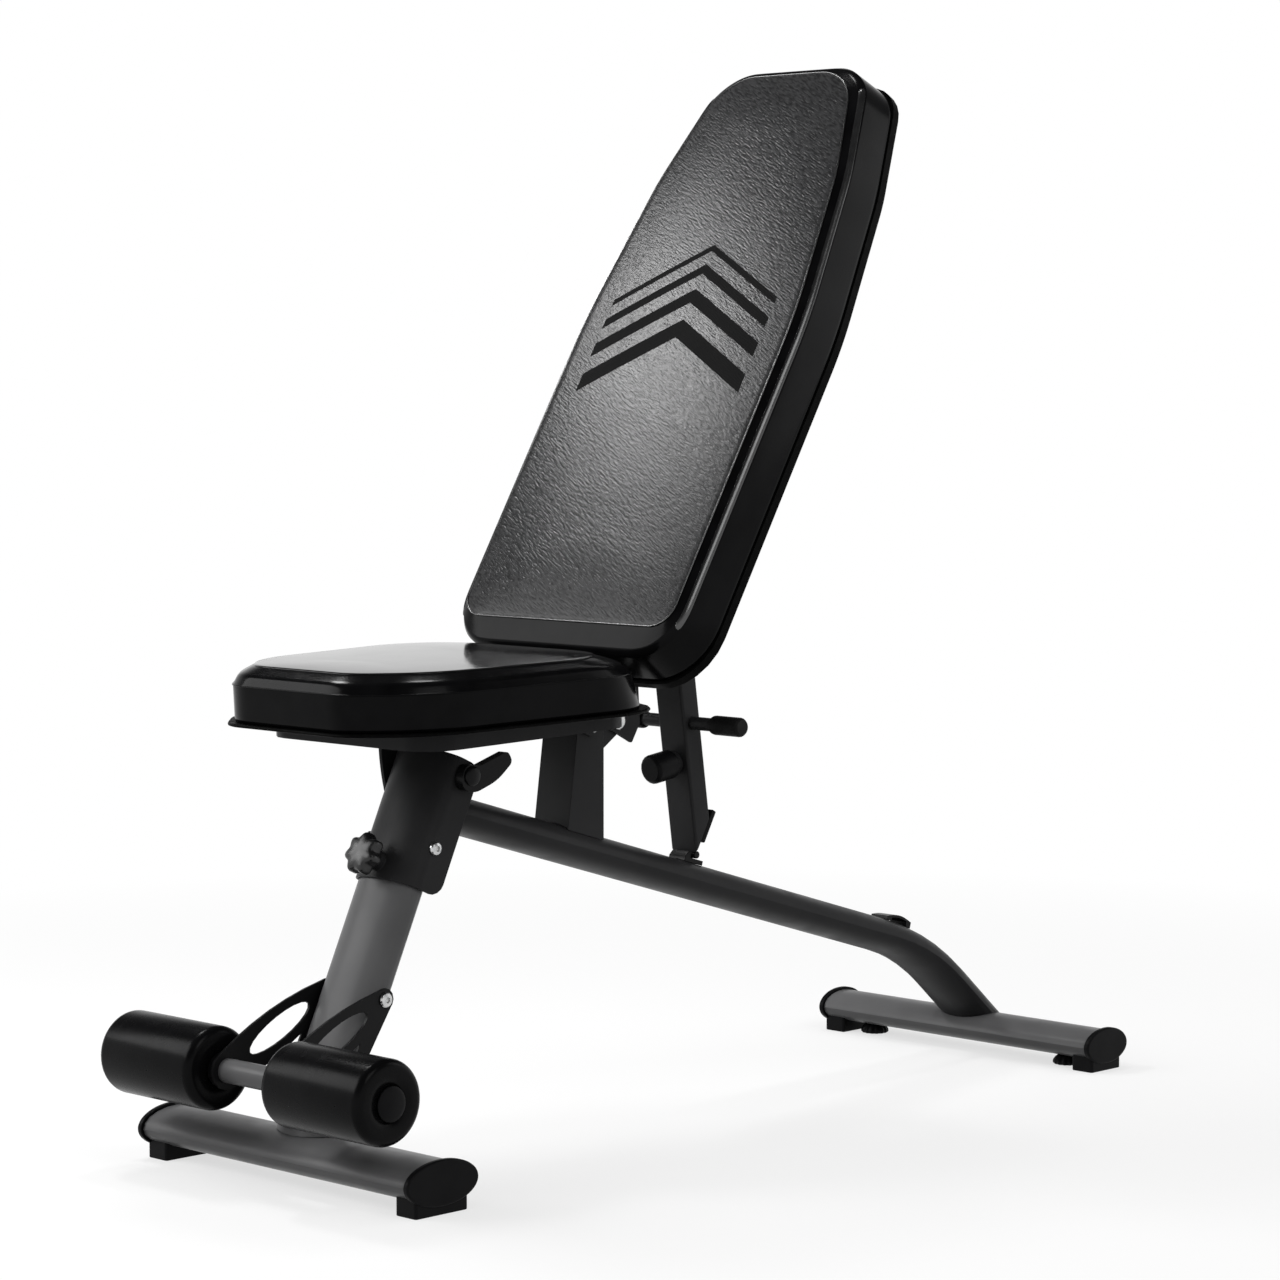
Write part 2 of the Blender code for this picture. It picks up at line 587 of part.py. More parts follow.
def build_bracket(beam):
    """Folded bracket round the top of the leg, with its bolts; drawn in the leg's frame."""
    bracket_frame = frame("bracket_frame", LEG_PIVOT, LEG_LEAN)
    inner_x = LEG_D / 2 + RUN
    inner_y = LEG_W / 2 + RUN
    steps = 20
    turns = [math.pi / 2 - math.pi * k / steps for k in range(steps + 1)]
    inner = [(-inner_x * math.cos(a), inner_y * math.sin(a)) for a in turns]
    outer = [(-(inner_x + PLATE) * math.cos(a), (inner_y + PLATE) * math.sin(a)) for a in turns]
    wrap = [(BRACKET_BACK, inner_y + PLATE)] + outer + [(BRACKET_BACK, -inner_y - PLATE)]
    wrap += [(BRACKET_BACK, -inner_y)] + inner[::-1] + [(BRACKET_BACK, inner_y)]
    height = BRACKET_BELOW + BRACKET_ABOVE
    folded = prism(wrap, height, Matrix.Translation((0, 0, -BRACKET_BELOW)))
    bracket = add("leg_bracket", folded, STEEL, bracket_frame)
    shape = [(-LEG_W, -BRACKET_BELOW - FIT), (BRACKET_BACK + FIT, -BRACKET_BELOW - FIT),
             (BRACKET_BACK + FIT, BRACKET_ABOVE + FIT), (-LEG_W, BRACKET_ABOVE + FIT)]
    shape = rounded(shape, [FIT, BRACKET_CORNER, BRACKET_CORNER, FIT])
    carve(bracket, slab(shape, -LEG_W, LEG_W), "INTERSECT")
    web = BRACKET_BACK - PLATE / 2
    web_low = LEG_D / 2 + PLATE
    carve(bracket, box((web - PLATE, -inner_y - PLATE / 2, web_low),
                       (web, inner_y + PLATE / 2, BRACKET_ABOVE - BRACKET_CORNER)), "UNION")
    nose = inner_x + PLATE
    forward = Matrix.Rotation(-math.pi / 2, 4, "Y")
    boss_place = Matrix.Translation((-nose + PLATE / 2, 0, -KNOB_BELOW)) @ forward
    boss_length = KNOB_BOSS_LENGTH + PLATE / 2
    carve(bracket, cylinder(KNOB_BOSS_R, 0, boss_length, boss_place, ROUND), "UNION")
    hole_place = Matrix.Translation((-inner_x + PLATE, 0, -KNOB_BELOW)) @ forward
    carve(bracket, cylinder(KNOB_SCREW_R + RUN, 0, DEEP, hole_place))
    carve(bracket, rod(0, 0, -LEG_W, LEG_W, LEG_BOLT_R + FIT))
    carve(bracket, rod(CLAMP_BACK, CLAMP_UP, -LEG_W, LEG_W, CLAMP_R + FIT))
    carve(beam, box((-LEG_W, -LEG_W, -LEG_W), (web + FIT, LEG_W, LEG_W * 2)), "DIFFERENCE", bracket_frame)

    outside = inner_y + PLATE + FIT
    bolt = [(0, -outside - PIN_R * 1.6), (LEG_BOLT_R, -outside - PIN_R * 1.6), (LEG_BOLT_R, outside)]
    bolt += dome_head(outside, LEG_BOLT_R * 2.0, LEG_BOLT_R * 1.2)
    add("leg_pivot_bolt", turned(bolt, across(0, 0, 0, -1), SMALL_ROUND), ZINC, bracket_frame)
    add("leg_pivot_nut", hex_nut(0, 0, outside, LEG_BOLT_R), ZINC, bracket_frame)

    lever_out = outside + LEVER_T + FIT
    sector_out = outside + SECTOR_T + 2 * FIT
    bolt = [(0, -sector_out - CLAMP_R * 1.8), (CLAMP_R, -sector_out - CLAMP_R * 1.8), (CLAMP_R, lever_out)]
    bolt += dome_head(lever_out, CLAMP_R * 2.5, CLAMP_R)
    place = across(CLAMP_BACK, CLAMP_UP, 0, -1)
    add("seat_clamp_bolt", turned(bolt, place, SMALL_ROUND), BLACK_STEEL, bracket_frame)
    add("seat_clamp_nut", hex_nut(CLAMP_BACK, CLAMP_UP, sector_out, CLAMP_R), ZINC, bracket_frame)
    build_lever(outside)
    build_star_knob(nose + KNOB_BOSS_LENGTH + FIT, inner_x + RUN)


def dome_head(base, radius, height):
    """Profile of a domed bolt head, from its rim to its middle."""
    return [(radius, base), (radius, base + height * 0.4), (radius * 0.75, base + height * 0.8),
            (0, base + height)]


def hex_nut(x, z, low_y, bolt_r):
    """A hexagon nut along Y round a bolt."""
    flat = bolt_r * 1.6
    height = bolt_r * 1.3
    turns = [2 * math.pi * k / SMALL_ROUND for k in range(SMALL_ROUND)]

    def ring(y, bore):
        reach = [bore or flat / math.cos(a % (math.pi / 3) - math.pi / 6) for a in turns]
        return [(x + r * math.cos(a), y, z + r * math.sin(a)) for r, a in zip(reach, turns)]

    bore = bolt_r + FIT
    top = low_y + height
    return skin([ring(low_y, 0.0), ring(top, 0.0), ring(top, bore), ring(low_y, bore)], ring=True)


def hinge_pin(name, hinge, outside):
    """A pin along Y with a round head on both ends."""
    reach = outside + FIT
    head = PIN_R * 0.7
    rim = PIN_R * 1.8
    half = [(PIN_R, reach), (rim, reach), (rim, reach + head * 0.6), (PIN_R * 1.4, reach + head),
            (0, reach + head)]
    profile = [(r, -y) for r, y in half[::-1]] + half
    add(name, turned(profile, across(hinge.x, hinge.z), SMALL_ROUND), ZINC)


def build_catches():
    """Front catch that the strut's foot stands in, and the arched strap at the rear position."""
    catch_frame = frame("catch_frame", beam_top(FRONT + STRUT_FOOT_STATION), -BEAM_FALL)
    half = CATCH_FRONT_LENGTH / 2
    base = FIT + CATCH_T
    lip = base + HOOK_R * 1.6
    stop = HOOK_R * 1.5 + CATCH_T
    step = -stop + CATCH_T
    side = [(-half, -CATCH_T), (half, -CATCH_T), (half, base), (step, base), (step, lip), (-stop, lip),
            (-half, base)]
    catch = add("strut_catch_front", slab(side, -CATCH_W / 2, CATCH_W / 2), BLACK_STEEL, catch_frame)
    carve(catch, beam_cutter_local(catch_frame))

    strap_frame = frame("strap_frame", beam_top(BEAM_BEND.x - STRAP_AHEAD), -BEAM_FALL)
    half = STRAP_LENGTH / 2
    steps = 10
    top = []
    for k in range(steps + 1):
        u = -half + STRAP_LENGTH * k / steps
        top.append((u, FIT + PLATE + STRAP_RISE * math.cos(math.pi * u / STRAP_LENGTH)))
    under = [(u, v - PLATE) for u, v in top if abs(u) < half * 0.7]
    deep = -BEAM_H / 3
    outline = top + [(half, deep), (half * 0.7, deep)] + under[::-1] + [(-half * 0.7, deep), (-half, deep)]
    strap = add("strut_catch_rear", slab(outline, -CATCH_W / 2, CATCH_W / 2), BLACK_STEEL, strap_frame)
    carve(strap, beam_cutter_local(strap_frame))


def leaf_outline(head, head_r, eye, eye_r, bow, steps=6):
    """Outline of a leaf from a small round head to a larger round eye, with bowed edges between."""
    run = eye - head
    lean = math.atan2(run.y, run.x)
    side = Vector((-run.y, run.x)).normalized()

    def arc(centre, radius, start):
        turns = [lean + start + math.pi * k / steps for k in range(steps + 1)]
        return [centre + radius * Vector((math.cos(a), math.sin(a))) for a in turns]

    def bowed(first, last, out):
        shares = [k / steps for k in range(1, steps)]
        return [first.lerp(last, t) + out * bow * 4 * t * (1 - t) for t in shares]

    outline = arc(head, head_r, math.pi / 2)
    outline += bowed(head - side * head_r, eye - side * eye_r, -side)
    outline += arc(eye, eye_r, -math.pi / 2)
    outline += bowed(eye + side * eye_r, head + side * head_r, side)
    return [tuple(point) for point in outline]


def build_leg():
    """Folding front leg with its foot, roller plates, bar and rollers."""
    leg = frame("leg_frame", LEG_PIVOT, LEG_LEAN)
    inverse = leg.matrix_world.inverted()
    foot = inverse @ FRONT_FOOT
    bar = inverse @ ROLLER_AXIS

    def ring(scale_w, scale_d, z):
        return [(u, v, z) for u, v in ellipse(scale_d, scale_w)]

    def shell(width, depth, top):
        dome = [ring(width * math.cos(a), depth * math.cos(a), top * math.sin(a))
                for a in (math.radians(d) for d in (0, 28, 54, 76))]
        return [ring(width, depth, foot.z)] + dome

    inner = shell(LEG_W - 2 * TUBE_WALL, LEG_D - 2 * TUBE_WALL, LEG_D / 2 - TUBE_WALL)
    tube = add("leg_tube", skin(inner[::-1] + shell(LEG_W, LEG_D, LEG_D / 2)), LEG_STEEL, leg)
    carve(tube, solid_foot(FRONT_FOOT, FRONT_TUBE_W, FRONT_TUBE_H), world=True)
    carve(tube, rod(0, 0, -LEG_W, LEG_W, LEG_BOLT_R + RUN))
    add("front_foot_tube", foot_tube(FRONT_FOOT, FRONT_TUBE_W, FRONT_TUBE_H), LEG_STEEL, leg, world=True)

    bolt_z = -ROLLER_PLATE_BOLT_UP
    plate_in = LEG_W / 2 + FIT
    plate_out = plate_in + PLATE
    head = Vector((0.0, bolt_z))
    eye = Vector((bar.x, bar.z))
    run = eye - head
    leaf = leaf_outline(head, ROLLER_PLATE_BOLT_R, eye, ROLLER_PLATE_EYE_R, ROLLER_PLATE_BOW)
    tail = [(0.0, bolt_z, ROLLER_PLATE_BOLT_R),
            (-ROLLER_PLATE_BOLT_R * 0.6, bolt_z - ROLLER_PLATE_TAIL, ROLLER_PLATE_BOLT_R * 0.6)]
    slot = Matrix.Rotation(math.atan2(run.y, run.x), 2)
    middle = head + run * 0.48
    oval = ellipse(run.length * 0.60, ROLLER_PLATE_SLOT_W)
    window = [tuple(middle + slot @ Vector(point)) for point in oval]
    for side, word in SIDES:
        ends = sorted((side * plate_in, side * plate_out))
        plate = add("roller_plate_" + word, slab(leaf, *ends), BLACK_STEEL, leg)
        carve(plate, slab(hull(tail), ends[0] + FIT, ends[1] - FIT), "UNION")
        carve(plate, slab(window, -LEG_W, LEG_W))
        carve(plate, rod(bar.x, bar.z, -LEG_W, LEG_W, BAR_R + FIT, ROUND))
        carve(plate, rod(0.0, bolt_z, -LEG_W, LEG_W, SMALL_BOLT_R + FIT))
        bolt_end = LEG_W / 2 - 2 * TUBE_WALL
        bolt = [(0, bolt_end), (SMALL_BOLT_R, bolt_end), (SMALL_BOLT_R, plate_out + FIT)]
        bolt += dome_head(plate_out + FIT, SMALL_HEAD_R, SMALL_HEAD_H)
        place = across(0.0, bolt_z, 0.0, side)
        add("roller_plate_bolt_" + word, turned(bolt, place, SMALL_ROUND), ZINC, leg)
        foot_cap("front_foot_cap_" + word, FRONT_FOOT, FRONT_TUBE_W, FRONT_TUBE_H, FRONT_PAD_W, side, leg)

        place = across(bar.x, bar.z, 0.0, side)
        collar_high = ROLLER_OUTER_Y - ROLLER_LENGTH - RUN
        collar = pipe(BAR_R + FIT, PLUG_R, plate_out + FIT, collar_high, place)
        add("roller_collar_" + word, collar, PLASTIC, leg)
        plug_low = ROLLER_OUTER_Y + RUN
        spigot = BAR_R - TUBE_WALL - FIT
        plug = [(0, plug_low - PLUG_SPIGOT), (spigot, plug_low - PLUG_SPIGOT), (spigot, plug_low)]
        plug += dome_head(plug_low, PLUG_R, PLUG_HEAD)
        add("roller_end_plug_" + word, turned(plug, place), PLASTIC, leg)
    carve(tube, rod(0.0, bolt_z, -LEG_W, LEG_W, SMALL_BOLT_R + FIT))

    reach = ROLLER_OUTER_Y
    add("roller_bar", pipe(BAR_R - TUBE_WALL, BAR_R, -reach, reach, across(bar.x, bar.z)), LEG_STEEL, leg)

    axle = frame("roller_axle", ROLLER_AXIS)
    bore = BAR_R + RUN
    inner_y = ROLLER_OUTER_Y - ROLLER_LENGTH
    turns = [math.pi / 2 * k / 3 for k in range(4)]
    edge = [(ROLLER_EDGE * (1 - math.cos(a)), ROLLER_EDGE * (1 - math.sin(a))) for a in turns]
    body = [(bore, inner_y)]
    body += [(ROLLER_R - drop, inner_y + into) for drop, into in edge[::-1]]
    body += [(ROLLER_R - drop, ROLLER_OUTER_Y - into) for drop, into in edge]
    body += [(bore, ROLLER_OUTER_Y)]
    for side, word in SIDES:
        roller = turned(body, across(0.0, 0.0, 0.0, side), ROLLER_ROUND, True)
        add("foam_roller_" + word, roller, FOAM_SKIN, axle)


def build_star_knob(base, screw_end):
    """Lobed hand knob with its screw, on the front of the leg bracket."""
    middle = leg_point(-base, -KNOB_BELOW)
    knob_frame = frame("knob_frame", middle, LEG_LEAN)
    count = KNOB_LOBES * 5
    turns = [2 * math.pi * k / count for k in range(count)]

    def lobes(scale, reach):
        ring = []
        for a in turns:
            r = scale * (KNOB_R - KNOB_LOBE_DEPTH * (1 - math.cos(KNOB_LOBES * a)) / 2)
            ring.append((-reach, r * math.cos(a), r * math.sin(a)))
        return ring

    steps = [(0.55, 0.0), (0.60, 0.24), (0.95, 0.36), (1.0, 0.46), (1.0, 0.78), (0.92, 0.92), (0.74, 1.0),
             (0.40, 1.05)]
    knob = add("star_knob", skin([lobes(s, KNOB_LENGTH * r) for s, r in steps]), PLASTIC, knob_frame)
    length = base - screw_end
    place = Matrix.Rotation(math.pi / 2, 4, "Y")
    carve(knob, cylinder(KNOB_SCREW_R, -KNOB_SCREW_R, length, place), "UNION")


def build_lever(outside):
    """Clamp lever on the near end of the seat clamp bolt."""
    lever_frame = frame("lever_frame", CLAMP)
    hub = LEVER_HUB_R
    reach = LEVER_REACH
    low = [(-1.05 * hub, -0.62 * hub), (0.13 * hub, -1.20 * hub), (0.62 * reach, -0.13 * reach)]
    tip = [(reach, 0.18 * reach), (0.88 * reach, 0.38 * reach)]
    high = [(0.70 * hub, 0.60 * hub), (-0.55 * hub, 0.85 * hub)]
    radii = [hub * share for share in (0.75, 2.0, 4.0, 0.4, 0.3, 0.8, 0.7)]
    blade = rounded(low + tip + high, radii, 5)
    lever = add("seat_lever", slab(blade, -outside - LEVER_T, -outside), BLACK_STEEL, lever_frame)
    carve(lever, rod(0, 0, -LEG_W, LEG_W, CLAMP_R + RUN))


def seat_plan(grow, rear_grow):
    """Plan of the seat: narrow nose, sloping shoulders and round rear corners."""
    front = -SEAT_FRONT - grow
    back = -SEAT_BACK + rear_grow
    half = [(front, SEAT_NOSE_W / 2 + grow * 0.5),
            (front + SEAT_SHOULDER + grow * 0.4, SEAT_SHOULDER_W / 2 + grow), (back, SEAT_REAR_W / 2 + grow)]
    corners = half + [(x, -y) for x, y in half[::-1]]
    radii = [SEAT_CORNER, SEAT_CORNER * 3, SEAT_REAR_CORNER, SEAT_REAR_CORNER, SEAT_CORNER * 3, SEAT_CORNER]
    return rounded(corners, radii, 6)


def build_seat():
    seat = frame("seat_origin", SEAT_HINGE, -SEAT_TILT)
    low = SEAT_BOARD_Z + SEAT_BOARD_T + FIT

    def level(plan, z):
        return [(x, y, z) for x, y in plan]

    pad = [level(seat_plan(0.0, 0.0), low),
           level(seat_plan(SEAT_BULGE, -SEAT_REAR_LEAN / 3), low + SEAT_SIDE_H * 0.5),
           level(seat_plan(0.0, -SEAT_REAR_LEAN), low + SEAT_SIDE_H),
           level(seat_plan(-SEAT_BEVEL, -SEAT_REAR_BEVEL), SEAT_TOP_Z),
           level(seat_plan(-2 * SEAT_BEVEL, -SEAT_REAR_BEVEL - SEAT_BEVEL), SEAT_TOP_Z + SEAT_CROWN)]
    add("seat_pad", skin(pad), BLACK_LEATHER, seat)
    plan = seat_plan(SEAT_BOARD_LIP, SEAT_BOARD_LIP)
    slice_up = Matrix.Translation((0, 0, SEAT_BOARD_Z))
    board = add("seat_board", prism(plan, SEAT_BOARD_T, slice_up), BOARD, seat)

    tray_top = SEAT_BOARD_Z - FIT
    half = TRAY_W / 2

    def tray_plan(inset):
        corners = [(-TRAY_FRONT + inset, -half + inset), (-TRAY_BACK - inset, -half * 0.93 + inset),
                   (-TRAY_BACK - inset, half * 0.93 - inset), (-TRAY_FRONT + inset, half - inset)]
        return rounded(corners, TRAY_CORNER - inset)

    block = prism(tray_plan(0.0), tray_top - TRAY_Z, Matrix.Translation((0, 0, TRAY_Z)))
    tray = add("seat_tray", block, STEEL, seat)
    carve(tray, prism(tray_plan(TRAY_T), SEAT_BOARD_Z, Matrix.Translation((0, 0, TRAY_Z + TRAY_T))))
    ear_in = POST_W / 2 + RUN
    ear_end = -TRAY_BACK - 2 * HINGE_LOBE_R
    ear_top = tray_top - 2 * PLATE
    ear = hull([(0, 0, HINGE_LOBE_R), (ear_end, TRAY_Z + 3 * TRAY_T, PLATE), (ear_end, ear_top, PLATE),
                (-TRAY_BACK, ear_top, PLATE)])
    for side, word in SIDES:
        ends = sorted((side * ear_in, side * (ear_in + PLATE)))
        carve(tray, slab(ear, *ends), "UNION")
    carve(tray, rod(0, 0, -POST_W, POST_W, PIN_R + RUN))

    bolt_x = -TRAY_FRONT * 0.78
    shank_end = SEAT_BOARD_Z + SEAT_BOARD_T * 0.6
    shank = shank_end - TRAY_Z
    hole = SMALL_BOLT_R + FIT
    bolt = [(0, -shank), (SMALL_BOLT_R, -shank), (SMALL_BOLT_R, 0)]
    bolt += dome_head(0.0, SMALL_HEAD_R, SMALL_HEAD_H * 0.7)
    for word, x in (("front", bolt_x), ("rear", bolt_x * 0.42)):
        for side, hand in SIDES:
            place = Matrix.Translation((x, side * half * 0.62, 0))
            under = place @ Matrix.Translation((0, 0, TRAY_Z - FIT)) @ Matrix.Rotation(math.pi, 4, "X")
            add("seat_bolt_" + word + "_" + hand, turned(bolt, under, SMALL_ROUND), ZINC, seat)
            carve(tray, cylinder(hole, -DEEP, DEEP, place))
            carve(board, cylinder(hole, -DEEP, shank_end + FIT, place))
    build_sector(seat)


def build_sector(seat):
    """Plate under the seat with an arc slot round the clamp bolt, centred on the seat hinge."""
    clamp = seat.matrix_world.inverted() @ CLAMP
    radius = math.hypot(clamp.x, clamp.z)
    rest = math.atan2(clamp.z, clamp.x) % (2 * math.pi)
    low_y = LEG_W / 2 + RUN + PLATE + 2 * FIT
    top = TRAY_Z - FIT
    margin = math.radians(6.0)
    last = rest + SEAT_LIFT + margin

    def arc(r, start, end, steps=12):
        turns = [start + (end - start) * k / steps for k in range(steps + 1)]
        return [(r * math.cos(a), r * math.sin(a)) for a in turns]

    far = radius + SECTOR_OUT
    near = radius - SECTOR_IN
    outline = arc(far, math.pi - math.asin(top / far), last)
    outline += arc(near, last, math.pi - math.asin(top / near))
    sector = add("seat_sector", slab(outline, low_y, low_y + SECTOR_T), STEEL, seat)
    slot = CLAMP_R + RUN
    play = math.radians(0.6)
    first = rest - play
    final = rest + SEAT_LIFT + play
    band = arc(radius + slot, first, final, 10) + arc(radius - slot, final, first, 10)
    through = (low_y - SECTOR_T, low_y + 2 * SECTOR_T)
    carve(sector, slab(band, *through))
    for angle in (first, final):
        carve(sector, rod(radius * math.cos(angle), radius * math.sin(angle), *through, slot))


def back_plan(grow, low_grow):
    """Outline of the backrest: straight sides, a taper above the middle, a round top."""
    low = BACK_BOTTOM - low_grow
    top = BACK_TOP + grow
    wide = BACK_W / 2 + grow
    narrow = BACK_TOP_W / 2 - BACK_EDGE_BEVEL + grow
    shoulder = BACK_TAPER_START + (BACK_TOP - BACK_TAPER_START) * 0.55
    shoulder_y = wide - (BACK_W - BACK_TOP_W) * 0.205
    half = [(low, wide), (BACK_TAPER_START, wide), (shoulder, shoulder_y), (top, narrow)]
    corners = [(x, -y) for x, y in half] + half[::-1]
    radii = [BACK_LOW_CORNER, BACK_SIDE_R, BACK_SHOULDER_R, BACK_TOP_CORNER]
    return rounded(corners, radii + radii[::-1], 6)


def build_backrest():
    rest = frame("back_frame", BACK_HINGE, -BACK_INCLINE)
    low = BACK_BOARD_Z + BACK_BOARD_T + FIT

    def level(grow, low_grow, z):
        return [(x, y, z) for x, y in back_plan(grow, low_grow)]

    edge = BACK_EDGE_Z - low
    pad = [level(-BACK_EDGE_BEVEL, -BACK_EDGE_BEVEL, low), level(0.0, 0.0, low + edge * 0.5),
           level(0.0, -BACK_EDGE_BEVEL, BACK_EDGE_Z),
           level(-BACK_PANEL_BEVEL, -2.6 * BACK_PANEL_BEVEL, BACK_FRONT_Z),
           level(-4 * BACK_PANEL_BEVEL, -5 * BACK_PANEL_BEVEL, BACK_FRONT_Z + BACK_CROWN)]
    add("back_pad", skin(pad), GREY_LEATHER, rest)
    plan = back_plan(BACK_BOARD_LIP, BACK_BOARD_LIP)
    slice_up = Matrix.Translation((0, 0, BACK_BOARD_Z))
    board = add("back_board", prism(plan, BACK_BOARD_T, slice_up), BOARD, rest)

    top = BACK_BOARD_Z - FIT
    low = top - CHANNEL_D
    half = CHANNEL_W / 2
    inside = half - CHANNEL_T
    lobe = HINGE_LOBE_R
    side = [(CHANNEL_END, low), (CHANNEL_END, top), (CHANNEL_START, top), (-lobe, lobe),
            (-lobe * 0.8, -CHANNEL_TAB), (lobe, -CHANNEL_TAB), (CHANNEL_START + CHANNEL_D, low)]
    side = rounded(side, [PLATE / 2, PLATE / 2, CHANNEL_T, lobe, CHANNEL_T, CHANNEL_T, CHANNEL_D], 3)
    channel = add("back_channel", slab(side, -half, half), STEEL, rest)
    far = 2 * CHANNEL_END
    roof = top - CHANNEL_T
    space = [(-far, -far), (far, -far), (far, roof), (CHANNEL_START, roof), (CHANNEL_START, far), (-far, far)]
    carve(channel, slab(space, -inside, inside))
    carve(channel, rod(0, 0, -POST_W, POST_W, PIN_R + RUN))
    carve(channel, rod(STRUT_PIVOT_UP, STRUT_PIVOT_OUT, -POST_W, POST_W, STRUT_PIN_R + FIT))

    reach = half + FIT
    pin = [(STRUT_PIN_R, reach)] + dome_head(reach, STRUT_PIN_R * 1.9, STRUT_PIN_R * 0.9)
    profile = [(r, -y) for r, y in pin[::-1]] + pin
    add("strut_pivot_pin", turned(profile, across(STRUT_PIVOT_UP, STRUT_PIVOT_OUT), SMALL_ROUND), ZINC, rest)

    seat_z = roof - FIT
    shank_end = BACK_BOARD_Z + BACK_BOARD_T * 0.6
    shank = shank_end - seat_z
    hole = SMALL_BOLT_R + FIT
    bolt = [(0, -shank), (SMALL_BOLT_R, -shank), (SMALL_BOLT_R, 0)]
    bolt += dome_head(0.0, SMALL_HEAD_R, SMALL_HEAD_H)
    for k, x in enumerate(CHANNEL_BOLT_AT):
        place = Matrix.Translation((x, 0, 0))
        under = place @ Matrix.Translation((0, 0, seat_z)) @ Matrix.Rotation(math.pi, 4, "X")
        add("back_bolt_%d" % (k + 1), turned(bolt, under, SMALL_ROUND), ZINC, rest)
        carve(channel, cylinder(hole, 0, DEEP, place))
        carve(board, cylinder(hole, 0, shank_end + FIT, place))


def build_strut():
    """Telescopic strut in its own frame: origin on the strut pivot, Z up the strut, X rearward."""
    strut = frame("strut_frame", STRUT_PIVOT, -STRUT_LEAN)
    foot = -STRUT_DROP
    low = foot + HOOK_R + FIT
    half = SLEEVE_D / 2
    outer = oblong(SLEEVE_W, SLEEVE_D, SLEEVE_CORNER)
    cavity = oblong(SLEEVE_W - 2 * SLEEVE_WALL, SLEEVE_D - 2 * SLEEVE_WALL, SLEEVE_CORNER / 2)
    sleeve = add("strut_sleeve", upright(outer, cavity, low, -SLEEVE_TOP_GAP), STEEL, strut)
    steep = MITRE_RISE / SLEEVE_D
    wedge = [(-half, low - FIT / 3), (half * 1.5, low - FIT / 3),
             (half * 1.5, low + MITRE_RISE + steep * half * 0.5)]
    carve(sleeve, slab(wedge, -SLEEVE_W, SLEEVE_W))

    def mitre(x, drop):
        length = math.hypot(SLEEVE_D, MITRE_RISE)
        return (x + drop * MITRE_RISE / length, low + steep * (x + half) - drop * SLEEVE_D / length)

    start = -HOOK_AHEAD + HOOK_R
    heel = half + FOOT_CAP_HEEL
    sole = FIT + FOOT_CAP_T
    cap = [mitre(start, FIT), mitre(start, sole), mitre(heel, sole), mitre(heel, FIT)]
    width = SLEEVE_W / 2
    add("strut_foot_cap", slab(rounded(cap, FOOT_CAP_CORNER, 3), -width, width), PLASTIC, strut)
    hook = rod(-HOOK_AHEAD, foot, -HOOK_LENGTH / 2, HOOK_LENGTH / 2, HOOK_R)
    add("strut_foot_hook", hook, BLACK_STEEL, strut)

    inner_w = SLEEVE_W - 2 * SLEEVE_WALL - 2 * RUN
    inner_d = SLEEVE_D - 2 * SLEEVE_WALL - 2 * RUN
    end = low + MITRE_RISE + SLEEVE_STROKE + INNER_TAIL_GAP
    outer = oblong(inner_w, inner_d, SLEEVE_CORNER / 2)
    cavity = oblong(inner_w - 2 * SLEEVE_WALL, inner_d - 2 * SLEEVE_WALL, SLEEVE_CORNER / 4)
    inner = add("strut_inner", upright(outer, cavity, end, inner_d), STEEL, strut)
    start = end - EYE_START
    eye = hull([(0, 0, inner_d / 2), (-inner_d / 2, start, RUN), (inner_d / 2, start, RUN)])
    carve(inner, slab(eye, -SLEEVE_W, SLEEVE_W), "INTERSECT")
    carve(inner, rod(0, 0, -SLEEVE_W, SLEEVE_W, STRUT_PIN_R + RUN))
    out = Matrix.Rotation(-math.pi / 2, 4, "Y")
    bore = PULL_PLUNGER_R + RUN
    for k in range(PULL_HOLES):
        up = foot + PULL_UP + SLEEVE_STROKE * k / (PULL_HOLES - 1)
        carve(inner, cylinder(bore, 0, SLEEVE_D, Matrix.Translation((0, 0, up)) @ out))

    bar_end = HANDLE_END_Y - CAP_WALL - FIT
    level = foot + HANDLE_UP
    grip_start = HANDLE_END_Y - GRIP_LENGTH
    cup = [(0, bar_end + FIT), (HANDLE_R + FIT, bar_end + FIT), (HANDLE_R + FIT, grip_start),
           (GRIP_R * 0.92, grip_start), (GRIP_R, grip_start + GRIP_EDGE), (GRIP_R, HANDLE_END_Y - GRIP_EDGE),
           (GRIP_R * 0.8, HANDLE_END_Y), (0, HANDLE_END_Y)]
    for side, word in SIDES:
        place = across(0, level, 0, side)
        bar = pipe(HANDLE_R - TUBE_WALL, HANDLE_R, SLEEVE_W / 2 + FIT, bar_end, place)
        add("handle_bar_" + word, bar, STEEL, strut)
        add("handle_grip_" + word, turned(cup, place), RUBBER, strut)

    pull = Vector((-half, 0, foot + PULL_UP))
    pull_frame = frame("pull_frame", strut.matrix_world @ pull, -STRUT_LEAN)
    collar_end = FIT + PULL_COLLAR_LENGTH
    add("pull_pin_collar", pipe(bore, PULL_COLLAR_R, FIT, collar_end, out), STEEL, pull_frame)
    carve(sleeve, cylinder(bore, -SLEEVE_WALL * 2, SLEEVE_D / 2, Matrix.Translation(pull) @ out))
    tip = -SLEEVE_WALL + FIT
    base = collar_end + FIT
    end = base + PULL_KNOB_LENGTH
    knob = [(0, tip), (PULL_PLUNGER_R, tip), (PULL_PLUNGER_R, base), (PULL_KNOB_R * 0.9, base),
            (PULL_KNOB_R, base + PULL_KNOB_EDGE), (PULL_KNOB_R, end - PULL_KNOB_EDGE),
            (PULL_KNOB_R * 0.8, end), (0, end)]
    add("pull_pin", turned(knob, out), PLASTIC, pull_frame)


